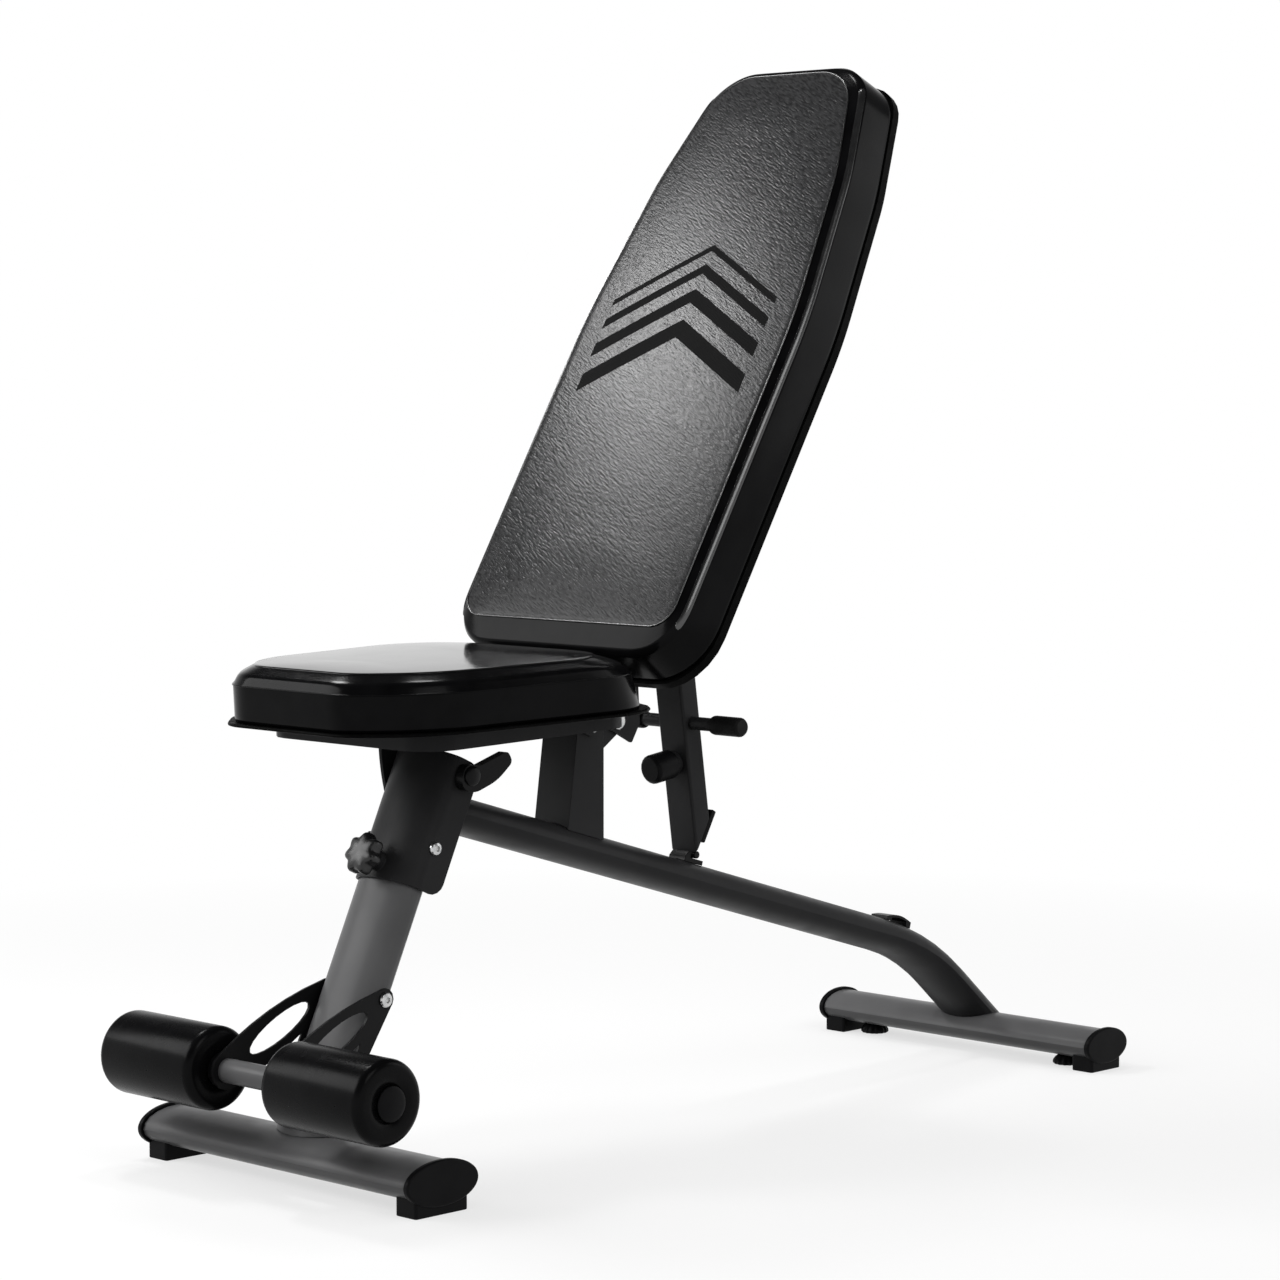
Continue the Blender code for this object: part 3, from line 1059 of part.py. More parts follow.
clear_scene()
build_frame()
build_leg()
build_seat()
build_backrest()
build_strut()
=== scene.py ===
# %% [markdown]
# # Dressing an adjustable exercise bench
# The bench is a painted steel frame with a tilting seat, a reclining backrest on a telescopic
# prop, and two foam rollers that hold the ankles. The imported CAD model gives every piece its
# size and place. This lesson loads that model and then works through it as an upholsterer and
# a painter would: light and camera first, then the paints, then the steel, and the cushions last.

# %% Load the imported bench
import json
from math import atan2, cos, hypot, pi, radians, tan, tanh

import bmesh
import bpy
from mathutils import Matrix, Vector

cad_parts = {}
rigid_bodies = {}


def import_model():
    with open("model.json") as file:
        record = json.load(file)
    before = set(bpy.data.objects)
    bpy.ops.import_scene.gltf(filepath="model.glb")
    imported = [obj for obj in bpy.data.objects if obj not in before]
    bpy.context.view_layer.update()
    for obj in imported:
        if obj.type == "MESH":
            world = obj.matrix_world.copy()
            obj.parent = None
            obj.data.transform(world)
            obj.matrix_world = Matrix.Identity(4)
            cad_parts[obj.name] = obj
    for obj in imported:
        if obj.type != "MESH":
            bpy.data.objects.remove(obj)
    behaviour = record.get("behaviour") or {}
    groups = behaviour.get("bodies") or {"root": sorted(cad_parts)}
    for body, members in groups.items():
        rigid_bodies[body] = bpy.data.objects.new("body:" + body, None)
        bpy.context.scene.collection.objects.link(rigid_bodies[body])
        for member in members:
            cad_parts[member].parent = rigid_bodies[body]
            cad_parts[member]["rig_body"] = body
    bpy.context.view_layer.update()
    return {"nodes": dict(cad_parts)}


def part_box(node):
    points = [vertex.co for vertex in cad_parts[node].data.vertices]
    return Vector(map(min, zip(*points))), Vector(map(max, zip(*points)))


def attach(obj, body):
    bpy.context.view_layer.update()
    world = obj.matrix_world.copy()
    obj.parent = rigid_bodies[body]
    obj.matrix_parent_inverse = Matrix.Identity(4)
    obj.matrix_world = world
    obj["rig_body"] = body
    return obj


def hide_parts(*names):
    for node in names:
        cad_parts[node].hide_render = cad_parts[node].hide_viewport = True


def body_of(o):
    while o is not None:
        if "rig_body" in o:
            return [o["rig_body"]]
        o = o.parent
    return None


for leftover in list(bpy.data.objects):
    bpy.data.objects.remove(leftover)
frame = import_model()

# %% [markdown]
# ## The camera
# The photograph was taken from the front left of the bench, only a little above the seat, with a
# long lens that keeps the upright lines nearly parallel. A camera can be set by eye, but a small
# error shows at once when two pictures are laid over each other. The place and the turn below
# come instead from measuring points on the feet, the beam and the backrest.

# %% Place the camera
CAMERA_AT = (-2.7784, -2.7248, 0.7821)
CAMERA_TURN = (85.833, 0.0, -45.48)
LENS_MM = 105.4
SENSOR_MM = 36.0

lens = bpy.data.cameras.new("bench_camera")
lens.lens = LENS_MM
lens.sensor_width = SENSOR_MM
camera = bpy.data.objects.new("bench_camera", lens)
camera.location = CAMERA_AT
camera.rotation_euler = [radians(turn) for turn in CAMERA_TURN]
bpy.context.scene.collection.objects.link(camera)
bpy.context.scene.camera = camera
bpy.context.scene.view_settings.view_transform = "Standard"
print("camera at", CAMERA_AT)

# %% [markdown]
# ## The white studio
# The bench stands in a white studio under a dark ceiling. A plain white world would put a grey veil on
# everything that shines. So the camera, mirrors and glass see white along the horizon and a deep grey
# overhead, which keeps black leather black and lets the lamps draw crisp lines on it, and all other
# light comes from a softer, even grey.

# %% Light the white studio
AMBIENT = 0.42
CEILING = 0.03
CEILING_STARTS = 0.15
CEILING_FULL = 0.55


def seen_directly(nodes, links):
    """One for rays from the camera, mirrors and glass, nought for the light that bounces about."""
    path = nodes.new("ShaderNodeLightPath")
    shiny = nodes.new("ShaderNodeMath")
    shiny.operation = "MAXIMUM"
    links.new(path.outputs["Is Camera Ray"], shiny.inputs[0])
    links.new(path.outputs["Is Glossy Ray"], shiny.inputs[1])
    every = nodes.new("ShaderNodeMath")
    every.operation = "MAXIMUM"
    links.new(shiny.outputs[0], every.inputs[0])
    links.new(path.outputs["Is Transmission Ray"], every.inputs[1])
    return every.outputs[0]


studio = bpy.data.worlds.new("white_studio")
studio.use_nodes = True
nodes, links = studio.node_tree.nodes, studio.node_tree.links
soft_light = nodes["Background"]
soft_light.inputs["Color"].default_value = (1.0, 1.0, 1.0, 1.0)
soft_light.inputs["Strength"].default_value = AMBIENT
white = nodes.new("ShaderNodeBackground")
white.inputs["Color"].default_value = (1.0, 1.0, 1.0, 1.0)
looking = nodes.new("ShaderNodeTexCoord")
upward = nodes.new("ShaderNodeSeparateXYZ")
links.new(looking.outputs["Generated"], upward.inputs[0])
dimming = nodes.new("ShaderNodeMapRange")
dimming.interpolation_type = "SMOOTHSTEP"
dimming.inputs["From Min"].default_value = CEILING_STARTS
dimming.inputs["From Max"].default_value = CEILING_FULL
dimming.inputs["To Min"].default_value = 1.0
dimming.inputs["To Max"].default_value = CEILING
links.new(upward.outputs["Z"], dimming.inputs["Value"])
links.new(dimming.outputs[0], white.inputs["Strength"])
choose = nodes.new("ShaderNodeMixShader")
links.new(seen_directly(nodes, links), choose.inputs["Fac"])
links.new(soft_light.outputs[0], choose.inputs[1])
links.new(white.outputs[0], choose.inputs[2])
links.new(choose.outputs[0], nodes["World Output"].inputs["Surface"])
bpy.context.scene.world = studio
print("studio light", AMBIENT, "and ceiling", CEILING)

# %% [markdown]
# ## The floor
# A curved backdrop would do as a floor, but it would show from behind. So the floor is a disc whose own
# shading stays strong under the bench, where the shadow falls, and fades into the white further out,
# so that no horizon line appears. It throws little light back up, as in a studio with dark cloth beside
# the bench, so the undersides stay deep.

# %% Lay the floor
FLOOR_RADIUS = 2.6
FLOOR_CORNERS = 96
SHADOW_SHARE = 0.34
PAPER_SEEN = 0.98
PAPER_BOUNCE = 0.20
FADE_STARTS = 0.25
FADE_ENDS = 0.75

floor_finish = bpy.data.materials.new("studio_floor")
floor_finish.use_nodes = True
nodes, links = floor_finish.node_tree.nodes, floor_finish.node_tree.links
paper = nodes["Principled BSDF"]
paper.inputs["Roughness"].default_value = 0.9
paper.inputs["Specular IOR Level"].default_value = 0.0
direct = seen_directly(nodes, links)
paper_tone = nodes.new("ShaderNodeMapRange")
paper_tone.inputs["To Min"].default_value = PAPER_BOUNCE
paper_tone.inputs["To Max"].default_value = PAPER_SEEN
links.new(direct, paper_tone.inputs["Value"])
links.new(paper_tone.outputs[0], paper.inputs["Base Color"])
glow = nodes.new("ShaderNodeEmission")
glow.inputs["Strength"].default_value = 1.0
place = nodes.new("ShaderNodeTexCoord")
reach = nodes.new("ShaderNodeMapping")
reach.inputs["Scale"].default_value = (1 / FLOOR_RADIUS, 1 / FLOOR_RADIUS, 1.0)
links.new(place.outputs["Object"], reach.inputs["Vector"])
fade = nodes.new("ShaderNodeTexGradient")
fade.gradient_type = "SPHERICAL"
links.new(reach.outputs[0], fade.inputs["Vector"])
share = nodes.new("ShaderNodeMapRange")
share.inputs["From Min"].default_value = FADE_STARTS
share.inputs["From Max"].default_value = FADE_ENDS
share.inputs["To Min"].default_value = 1.0
share.inputs["To Max"].default_value = 1.0 - SHADOW_SHARE
links.new(fade.outputs["Fac"], share.inputs["Value"])
seen = nodes.new("ShaderNodeMath")
seen.operation = "MULTIPLY"
links.new(share.outputs[0], seen.inputs[0])
links.new(direct, seen.inputs[1])
layers = nodes.new("ShaderNodeMixShader")
links.new(seen.outputs[0], layers.inputs["Fac"])
links.new(paper.outputs[0], layers.inputs[1])
links.new(glow.outputs[0], layers.inputs[2])
links.new(layers.outputs[0], nodes["Material Output"].inputs["Surface"])

bm = bmesh.new()
bmesh.ops.create_circle(bm, cap_ends=True, segments=FLOOR_CORNERS, radius=FLOOR_RADIUS)
floor_mesh = bpy.data.meshes.new("studio_floor")
bm.to_mesh(floor_mesh)
bm.free()
floor_mesh.materials.append(floor_finish)
floor = bpy.data.objects.new("studio_floor", floor_mesh)
bpy.context.scene.collection.objects.link(floor)
print("studio floor", FLOOR_RADIUS, "m in radius")

# %% [markdown]
# ## Soft boxes
# Black leather and dark paint show their shape only through what they reflect. One strong lamp would
# leave most of the bench flat, so several weaker ones each have a task. The edge box hangs above the
# camera and draws the bright line along the rounded edges. Two panel boxes stand close on the far
# side, where the front of the backrest mirrors them. The top lamp is small and high, for the spark on
# the seat's corner and the upper side of the tubes. The side box lifts the black flank of the backrest
# near its top. The front box is broad and gives the leg its lighter flank.

# %% Hang the soft boxes
BENCH_MIDDLE = Vector((0.0, 0.0, 0.6))
PANEL_LEFT = Vector((0.07, 0.12, 0.85))
PANEL_RIGHT = Vector((0.0, -0.10, 0.73))
BACKREST_TIP = Vector((0.20, -0.15, 1.00))

# name: point aimed at, direction from it to the lamp, distance, width and height in metres, watts
SOFT_BOXES = {
    "edge_box": (BENCH_MIDDLE, (-0.20, -0.80, 0.56), 3.5, 1.4, 1.4, 23),
    "panel_box": (PANEL_LEFT, (-0.317, 0.707, 0.632), 1.1, 0.24, 0.24, 4.5),
    "low_panel_box": (PANEL_RIGHT, (-0.353, 0.686, 0.635), 1.1, 0.24, 0.24, 3),
    "top_lamp": (BENCH_MIDDLE, (0.20, 0.19, 0.96), 2.2, 0.30, 0.30, 10),
    "side_box": (BACKREST_TIP, (0.757, -0.65, 0.12), 1.1, 0.80, 0.80, 3),
    "front_box": (BENCH_MIDDLE, (-0.75, 0.57, 0.34), 2.4, 1.8, 1.0, 30),
}


def soft_box(name, aim, towards, distance, width, height, watts):
    """An area lamp that looks at a point from a direction."""
    lamp = bpy.data.lights.new(name, "AREA")
    lamp.shape = "RECTANGLE"
    lamp.size = width
    lamp.size_y = height
    lamp.energy = watts
    holder = bpy.data.objects.new(name, lamp)
    direction = Vector(towards).normalized()
    holder.location = aim + distance * direction
    holder.rotation_euler = direction.to_track_quat("Z", "Y").to_euler()
    bpy.context.scene.collection.objects.link(holder)
    print(name, "at", [round(value, 2) for value in holder.location])


for name, settings in SOFT_BOXES.items():
    soft_box(name, *settings)

# %% [markdown]
# ## Reading the bench in its own directions
# A print follows the piece that it is on. It could be placed with a UV map, but the pieces here are
# built from measures, so it is simpler to measure on them. The backrest leans at 59 degrees and the
# seat at just over one, so each cushion gets a space of its own, with one axis along it and one
# across. The same two spaces are used to shape the cushions and to read their finishes.

# %% Name the two cushion spaces
SEAT_HINGE = (-0.1045, 0.0, 0.42)
SEAT_TURN = radians(-1.2)
BACK_HINGE = (-0.0655, 0.0, 0.42)
BACK_TURN = radians(-59.0)
seat_space = Matrix.Translation(SEAT_HINGE) @ Matrix.Rotation(SEAT_TURN, 4, "Y")
back_space = Matrix.Translation(BACK_HINGE) @ Matrix.Rotation(BACK_TURN, 4, "Y")
print("seat and backrest spaces set at", SEAT_HINGE, BACK_HINGE)

# %% [markdown]
# ## Helpers for finishes
# Every finish here starts from the same small kit: a Principled shader, a place to read the
# surface from, and noise at a size that is measured in millimetres on the real thing. Uniform
# values go straight on to the shader's own sockets; only what changes over the surface is linked.

# %% Finish helpers
finishes = {}


class Finish:
    """A material under construction: its nodes, its links and its Principled shader."""

    def __init__(self, slot, rough, gloss, metal=0.0):
        self.material = bpy.data.materials.new("finish_" + slot)
        self.material.use_nodes = True
        self.nodes = self.material.node_tree.nodes
        self.links = self.material.node_tree.links
        self.shader = self.nodes["Principled BSDF"]
        self.shader.inputs["Roughness"].default_value = rough
        self.shader.inputs["Specular IOR Level"].default_value = gloss
        self.shader.inputs["Metallic"].default_value = metal
        self.place = self.nodes.new("ShaderNodeTexCoord").outputs["Object"]
        finishes[slot] = self.material

    def turned(self, origin, turn):
        """Read the surface from a leaning piece's own origin and axes."""
        mapping = self.nodes.new("ShaderNodeMapping")
        mapping.vector_type = "TEXTURE"
        mapping.inputs["Location"].default_value = origin
        mapping.inputs["Rotation"].default_value = (0.0, turn, 0.0)
        self.links.new(self.place, mapping.inputs["Vector"])
        self.place = mapping.outputs[0]

    def noise(self, size_mm, detail=3.0, stretch=(1.0, 1.0, 1.0), tilt=0.0):
        """Noise whose patches are about size_mm across, longer along any stretched axis."""
        mapping = self.nodes.new("ShaderNodeMapping")
        mapping.inputs["Scale"].default_value = [1000.0 / (size_mm * longer) for longer in stretch]
        turn = self.nodes.new("ShaderNodeMapping")
        turn.inputs["Rotation"].default_value = (0.0, 0.0, tilt)
        self.links.new(self.place, turn.inputs["Vector"])
        self.links.new(turn.outputs[0], mapping.inputs["Vector"])
        texture = self.nodes.new("ShaderNodeTexNoise")
        texture.inputs["Scale"].default_value = 1.0
        texture.inputs["Detail"].default_value = detail
        self.links.new(mapping.outputs[0], texture.inputs["Vector"])
        return texture.outputs["Fac"]

    def pebbles(self, size_mm):
        """Rounded cells with creases between them, as on embossed leather cloth."""
        texture = self.nodes.new("ShaderNodeTexVoronoi")
        texture.feature = "SMOOTH_F1"
        texture.inputs["Scale"].default_value = 1000.0 / size_mm
        self.links.new(self.place, texture.inputs["Vector"])
        return texture.outputs["Distance"]

    def between(self, value, low, high, start=0.3, end=0.7):
        """Stretch a value from start..end to low..high."""
        ranged = self.nodes.new("ShaderNodeMapRange")
        ranged.inputs["From Min"].default_value = start
        ranged.inputs["From Max"].default_value = end
        ranged.inputs["To Min"].default_value = low
        ranged.inputs["To Max"].default_value = high
        self.links.new(value, ranged.inputs["Value"])
        return ranged.outputs[0]

    def tones(self, value, dark, light, start=0.35, end=0.65):
        """A colour that wanders between two tones."""
        ramp = self.nodes.new("ShaderNodeValToRGB")
        ramp.color_ramp.elements[0].position = start
        ramp.color_ramp.elements[1].position = end
        ramp.color_ramp.elements[0].color = (*dark, 1.0)
        ramp.color_ramp.elements[1].color = (*light, 1.0)
        self.links.new(value, ramp.inputs["Fac"])
        return ramp.outputs["Color"]

    def colour(self, value):
        self.links.new(value, self.shader.inputs["Base Color"])

    def roughness(self, value):
        self.links.new(value, self.shader.inputs["Roughness"])

    def bumps(self, *layers):
        """Stack bump layers: (height, depth in mm, strength)."""
        below = None
        for height, depth_mm, strength in layers:
            bump = self.nodes.new("ShaderNodeBump")
            bump.inputs["Distance"].default_value = depth_mm / 1000.0
            bump.inputs["Strength"].default_value = strength
            self.links.new(height, bump.inputs["Height"])
            if below:
                self.links.new(below, bump.inputs["Normal"])
            below = bump.outputs[0]
        self.links.new(below, self.shader.inputs["Normal"])


print("finish helpers ready")

# %% [markdown]
# ## Paint on the steel
# The beam, post, bracket and prop are powder coated in a dark grey, and the folding leg and the
# feet in a lighter one. An even grey with one roughness would look like bare plastic. Powder coat flows
# into a slight orange peel before it sets, so it gets a very shallow bump a few millimetres across, and
# a fine grain under it. Roughness drifts a little where hands and cloths have polished it.

# %% Mix the paints
# slot: darker tone, lighter tone, roughness, gloss
PAINTS = {
    "steel": ((0.024, 0.024, 0.025), (0.031, 0.031, 0.032), 0.40, 0.08),
    "leg_steel": ((0.112, 0.112, 0.114), (0.132, 0.132, 0.134), 0.34, 0.14),
    "black_steel": ((0.007, 0.007, 0.0075), (0.011, 0.011, 0.0115), 0.32, 0.10),
}

for slot, (dark, light, rough, gloss) in PAINTS.items():
    paint = Finish(slot, rough, gloss)
    cloud = paint.noise(90.0, detail=4.0)
    paint.colour(paint.tones(cloud, dark, light))
    paint.roughness(paint.between(paint.noise(35.0, detail=5.0), rough - 0.05, rough + 0.07))
    paint.bumps((paint.noise(3.2, detail=1.0), 0.05, 0.35), (paint.noise(0.7), 0.02, 0.25))
    print("paint", slot, dark, light)

# %% [markdown]
# ## Plastics, rubber, plating and board
# Foot caps and collars are moulded with a fine spark texture. The star knob, which hands polish, is a
# glossier and slightly greyer plastic. The handle grips are soft rubber, duller and slightly dusty.
# Bolts are zinc plated: bright metal with faint drawn lines. The boards behind the cushions are
# pressed fibre with a black sealed face. A single dark material would do from afar, but close by each
# of these is told apart by its shine, so each has its own roughness and its own fine bump.

# %% Mix the other hard finishes
plastic = Finish("plastic", 0.40, 0.06)
plastic.colour(plastic.tones(plastic.noise(40.0), (0.005, 0.005, 0.0055), (0.008, 0.008, 0.0085)))
plastic.roughness(plastic.between(plastic.noise(18.0, detail=5.0), 0.33, 0.46))
plastic.bumps((plastic.noise(0.9, detail=2.0), 0.06, 0.5))

gloss_plastic = Finish("gloss_plastic", 0.30, 0.40)
knob_tone = gloss_plastic.noise(15.0)
gloss_plastic.colour(gloss_plastic.tones(knob_tone, (0.010, 0.010, 0.0105), (0.016, 0.016, 0.0165)))
gloss_plastic.roughness(gloss_plastic.between(gloss_plastic.noise(8.0, detail=4.0), 0.24, 0.36))
gloss_plastic.bumps((gloss_plastic.noise(0.8, detail=2.0), 0.03, 0.4))

rubber = Finish("rubber", 0.50, 0.08)
rubber.colour(rubber.tones(rubber.noise(25.0, detail=5.0), (0.007, 0.007, 0.007), (0.014, 0.014, 0.014)))
rubber.roughness(rubber.between(rubber.noise(9.0, detail=4.0), 0.46, 0.64))
rubber.bumps((rubber.noise(0.6), 0.05, 0.5))

zinc = Finish("zinc", 0.28, 0.5, metal=1.0)
zinc.colour(zinc.tones(zinc.noise(6.0), (0.48, 0.49, 0.50), (0.62, 0.62, 0.61)))
zinc.roughness(zinc.between(zinc.noise(2.5, detail=5.0), 0.20, 0.36))
zinc.bumps((zinc.noise(0.5, stretch=(6.0, 1.0, 1.0)), 0.02, 0.4))

board = Finish("board", 0.42, 0.02)
board.colour(board.tones(board.noise(4.0, detail=6.0), (0.0015, 0.0015, 0.0015), (0.0035, 0.0035, 0.0035)))
board.roughness(board.between(board.noise(12.0, detail=5.0), 0.40, 0.55))
board.bumps((board.noise(1.4, detail=5.0), 0.08, 0.35))
print("hard finishes:", sorted(finishes))

# %% [markdown]
# ## Leather cloth and foam skin
# The cushions wear a coated cloth that is embossed like leather. The black cloth has small pebbles. The
# seat's top is worn smoother, so it is the same black with more shine. The edge band and the ridge
# round the panel are a firm glossy piping, and the rollers have a closed foam skin. Modelled pebbles
# would cost millions of faces, so the grain is a shallow bump and only the seams are real shapes.

# %% Mix the soft finishes
BLACKS = ((0.0030, 0.0030, 0.0033), (0.0050, 0.0050, 0.0054))

black_cloth = Finish("black_leather", 0.17, 0.05)
black_cloth.colour(black_cloth.tones(black_cloth.noise(30.0, detail=4.0), *BLACKS))
black_cloth.roughness(black_cloth.between(black_cloth.noise(14.0, detail=4.0), 0.15, 0.19))
black_cloth.bumps((black_cloth.pebbles(1.9), 0.10, 0.14), (black_cloth.noise(0.6), 0.03, 0.2))

worn_cloth = Finish("worn_leather", 0.10, 0.50)
worn_cloth.colour(worn_cloth.tones(worn_cloth.noise(30.0, detail=4.0), *BLACKS))
worn_cloth.roughness(worn_cloth.between(worn_cloth.noise(45.0, detail=3.0), 0.09, 0.12))
worn_cloth.bumps((worn_cloth.pebbles(1.9), 0.04, 0.06))

piping = Finish("piping", 0.24, 1.0)
piping.colour(piping.tones(piping.noise(12.0), (0.010, 0.010, 0.0105), (0.015, 0.015, 0.0155)))
piping.roughness(piping.between(piping.noise(9.0, detail=4.0), 0.21, 0.27))
piping.bumps((piping.noise(0.7), 0.02, 0.3))

foam_skin = Finish("foam_skin", 0.26, 0.06)
foam_skin.colour(foam_skin.tones(foam_skin.noise(30.0), *BLACKS))
foam_skin.roughness(foam_skin.between(foam_skin.noise(16.0, detail=4.0), 0.24, 0.29))
foam_skin.bumps((foam_skin.noise(1.1), 0.01, 0.15))
print("all finishes so far:", len(finishes))

# %% [markdown]
# ## The panel's cloth and print
# The grey panel has longer creases that run slantwise. Its grey is painted darker in the crease hollows and
# lighter on the crease ridges, as painted shade and light. A plain chevron print in black runs across its
# middle. The print is only a colour, so it needs no mesh and no picture: distances up and across the
# backrest are added into a slanted coordinate, and a few Compare nodes cut bands from it.

# %% Print the panel's cloth
CHEVRON_RISE = 0.55
CHEVRON_BANDS = ((0.405, 0.0110), (0.445, 0.0085), (0.478, 0.0060), (0.504, 0.0040))
CHEVRON_HALF_WIDTH = 0.118
# painted shade and light: the grey ground is darker in the crease hollows and lighter on the crease ridges
GROUND_SHADED_IN_CREASES = (0.015, 0.015, 0.0155)
GROUND_LIT_ON_CREASES = (0.035, 0.035, 0.036)
INK = (0.0012, 0.0012, 0.0013, 1.0)
INK_DULLNESS = 0.65
CREASE_SLANT = radians(28.0)

grey_cloth = Finish("grey_leather", 0.25, 0.15)
grey_cloth.turned(BACK_HINGE, BACK_TURN)
creases = grey_cloth.noise(1.8, detail=2.0, stretch=(1.0, 5.0, 1.0), tilt=CREASE_SLANT)
wear = grey_cloth.noise(60.0, detail=4.0)


def maths(kit, operation, first, second, third=0.0):
    """The result of one Math node; numbers stay on its own sockets."""
    node = kit.nodes.new("ShaderNodeMath")
    node.operation = operation
    for socket, value in zip(node.inputs, (first, second, third)):
        if isinstance(value, float):
            socket.default_value = value
        else:
            kit.links.new(value, socket)
    return node.outputs[0]


axes = grey_cloth.nodes.new("ShaderNodeSeparateXYZ")
grey_cloth.links.new(grey_cloth.place, axes.inputs[0])
across = maths(grey_cloth, "ABSOLUTE", axes.outputs["Y"], 0.0)
slope = maths(grey_cloth, "MULTIPLY", across, CHEVRON_RISE)
height = maths(grey_cloth, "ADD", axes.outputs["X"], slope)
print_mask = 0.0
for middle, half in CHEVRON_BANDS:
    band = maths(grey_cloth, "COMPARE", height, middle, half)
    print_mask = maths(grey_cloth, "MAXIMUM", print_mask, band)
inside = maths(grey_cloth, "LESS_THAN", across, CHEVRON_HALF_WIDTH)
print_mask = maths(grey_cloth, "MULTIPLY", print_mask, inside)

# painted shade: the crease height that drives the bump also darkens the grey in the hollows and lightens it
# on the ridges
ground_with_crease_shade = grey_cloth.tones(creases, GROUND_SHADED_IN_CREASES, GROUND_LIT_ON_CREASES, 0.36, 0.60)
printed = grey_cloth.nodes.new("ShaderNodeMix")
printed.data_type = "RGBA"
sockets = {socket.identifier: socket for socket in printed.inputs}
grey_cloth.links.new(print_mask, sockets["Factor_Float"])
grey_cloth.links.new(ground_with_crease_shade, sockets["A_Color"])
sockets["B_Color"].default_value = INK
grey_cloth.colour([out for out in printed.outputs if out.identifier == "Result_Color"][0])
worn_sheen = grey_cloth.between(wear, 0.23, 0.27)
dull_ink = maths(grey_cloth, "MULTIPLY", print_mask, INK_DULLNESS)
grey_cloth.roughness(maths(grey_cloth, "ADD", worn_sheen, dull_ink))
grey_cloth.bumps((creases, 0.60, 0.80), (grey_cloth.pebbles(1.4), 0.08, 0.25))
print("chevron bands:", len(CHEVRON_BANDS))

# %% [markdown]
# ## Dressing the steel and the mouldings
# The CAD tubes, plates, bolts and caps already have the right shape, but they arrive as loose flat
# triangles with knife edges. Real bent and moulded pieces have a small radius that catches light. They
# could all be modelled again, but then they might not fit. So each one is copied, its loose corners are
# merged, flat areas are dissolved into single faces, and every hard edge gets a fine bevel. Weighted
# normals then keep the flats flat and the tubes round.

# %% Dress the rigid pieces
EDGE_RADIUS = {"zinc": 0.0005, "plastic": 0.0010, "rubber": 0.0010, "board": 0.0016}
THIN_EDGE = 0.0007
HARD_EDGE = radians(33.0)
FLAT_ENOUGH = radians(0.6)
WELD = 0.00001
SOFT_NODES = {"seat_pad", "back_pad", "foam_roller_left", "foam_roller_right"}
TURNED_NODES = {"star_knob", "rear_leveller_left", "rear_leveller_right", "leg_pivot_bolt",
                "roller_plate_bolt_left", "roller_plate_bolt_right"}
CAP_NODES = {"front_foot_cap_left", "front_foot_cap_right", "rear_foot_cap_left", "rear_foot_cap_right"}
POLISHED_NODES = {"star_knob"}


def new_piece(name, bm, slot, body, finish=None):
    """Keep a bmesh as a piece that rides on a body and wears its slot's finish, or another one."""
    mesh = bpy.data.meshes.new(name)
    bm.to_mesh(mesh)
    bm.free()
    mesh.materials.append(finishes[finish or slot])
    mesh.shade_smooth()
    piece = bpy.data.objects.new(name, mesh)
    bpy.context.scene.collection.objects.link(piece)
    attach(piece, body)
    return piece


def merged_copy(node):
    """A bmesh of a CAD node with its loose triangles joined and its flats dissolved."""
    bm = bmesh.new()
    bm.from_mesh(frame["nodes"][node].data)
    bmesh.ops.remove_doubles(bm, verts=bm.verts, dist=WELD)
    bmesh.ops.dissolve_limit(bm, angle_limit=FLAT_ENOUGH, verts=bm.verts, edges=bm.edges)
    return bm


def soften(bm, slot):
    """Give every hard edge a fine radius."""
    sharp = [edge for edge in bm.edges if edge.is_manifold and edge.calc_face_angle() > HARD_EDGE]
    bmesh.ops.bevel(bm, geom=sharp, offset=EDGE_RADIUS.get(slot, THIN_EDGE), affect="EDGES", segments=2,
                    profile=0.5, material=-1, clamp_overlap=True)
    return bm


def stand_in(node, bm):
    """A rigid piece that takes a CAD node's place, finish and body."""
    source = frame["nodes"][node]
    slot = source.data.materials[0].name
    body = body_of(source)[0]
    finish = "gloss_plastic" if node in POLISHED_NODES else slot
    piece = new_piece("dressed_" + node, soften(bm, slot), slot, body, finish)
    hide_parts(node)
    even = piece.modifiers.new("even_shading", "WEIGHTED_NORMAL")
    even.keep_sharp = True
    return piece


shaped = SOFT_NODES | TURNED_NODES | CAP_NODES | {"seat_board"}
plain = [node for node in frame["nodes"] if node not in shaped]
rigid = [stand_in(node, merged_copy(node)) for node in plain]
print("dressed", len(rigid), "rigid pieces")

# %% [markdown]
# ## Foot caps and the seat's lip
# The foot tubes run nearly to the tips of the bench, where a black plug closes each end and a small
# block under it stands on the floor. The CAD caps are deeper sleeves, so they are made anew here: a
# short cylinder squeezed to the tube's oval is the plug, and a bevelled cube is the block. The cover
# of the seat is drawn down over the edge of its board and leaves only a thin lip, so the board's upper
# face is lowered until just that lip is left.

# %% Make the foot caps and the lip
PLUG_DEPTH = 0.0065
PLUG_EDGE = 0.0022
PLUG_SIDES = 72
BLOCK_SHARE = 0.39
BLOCK_EDGE = 0.0030
LIP_TOP = 0.0272


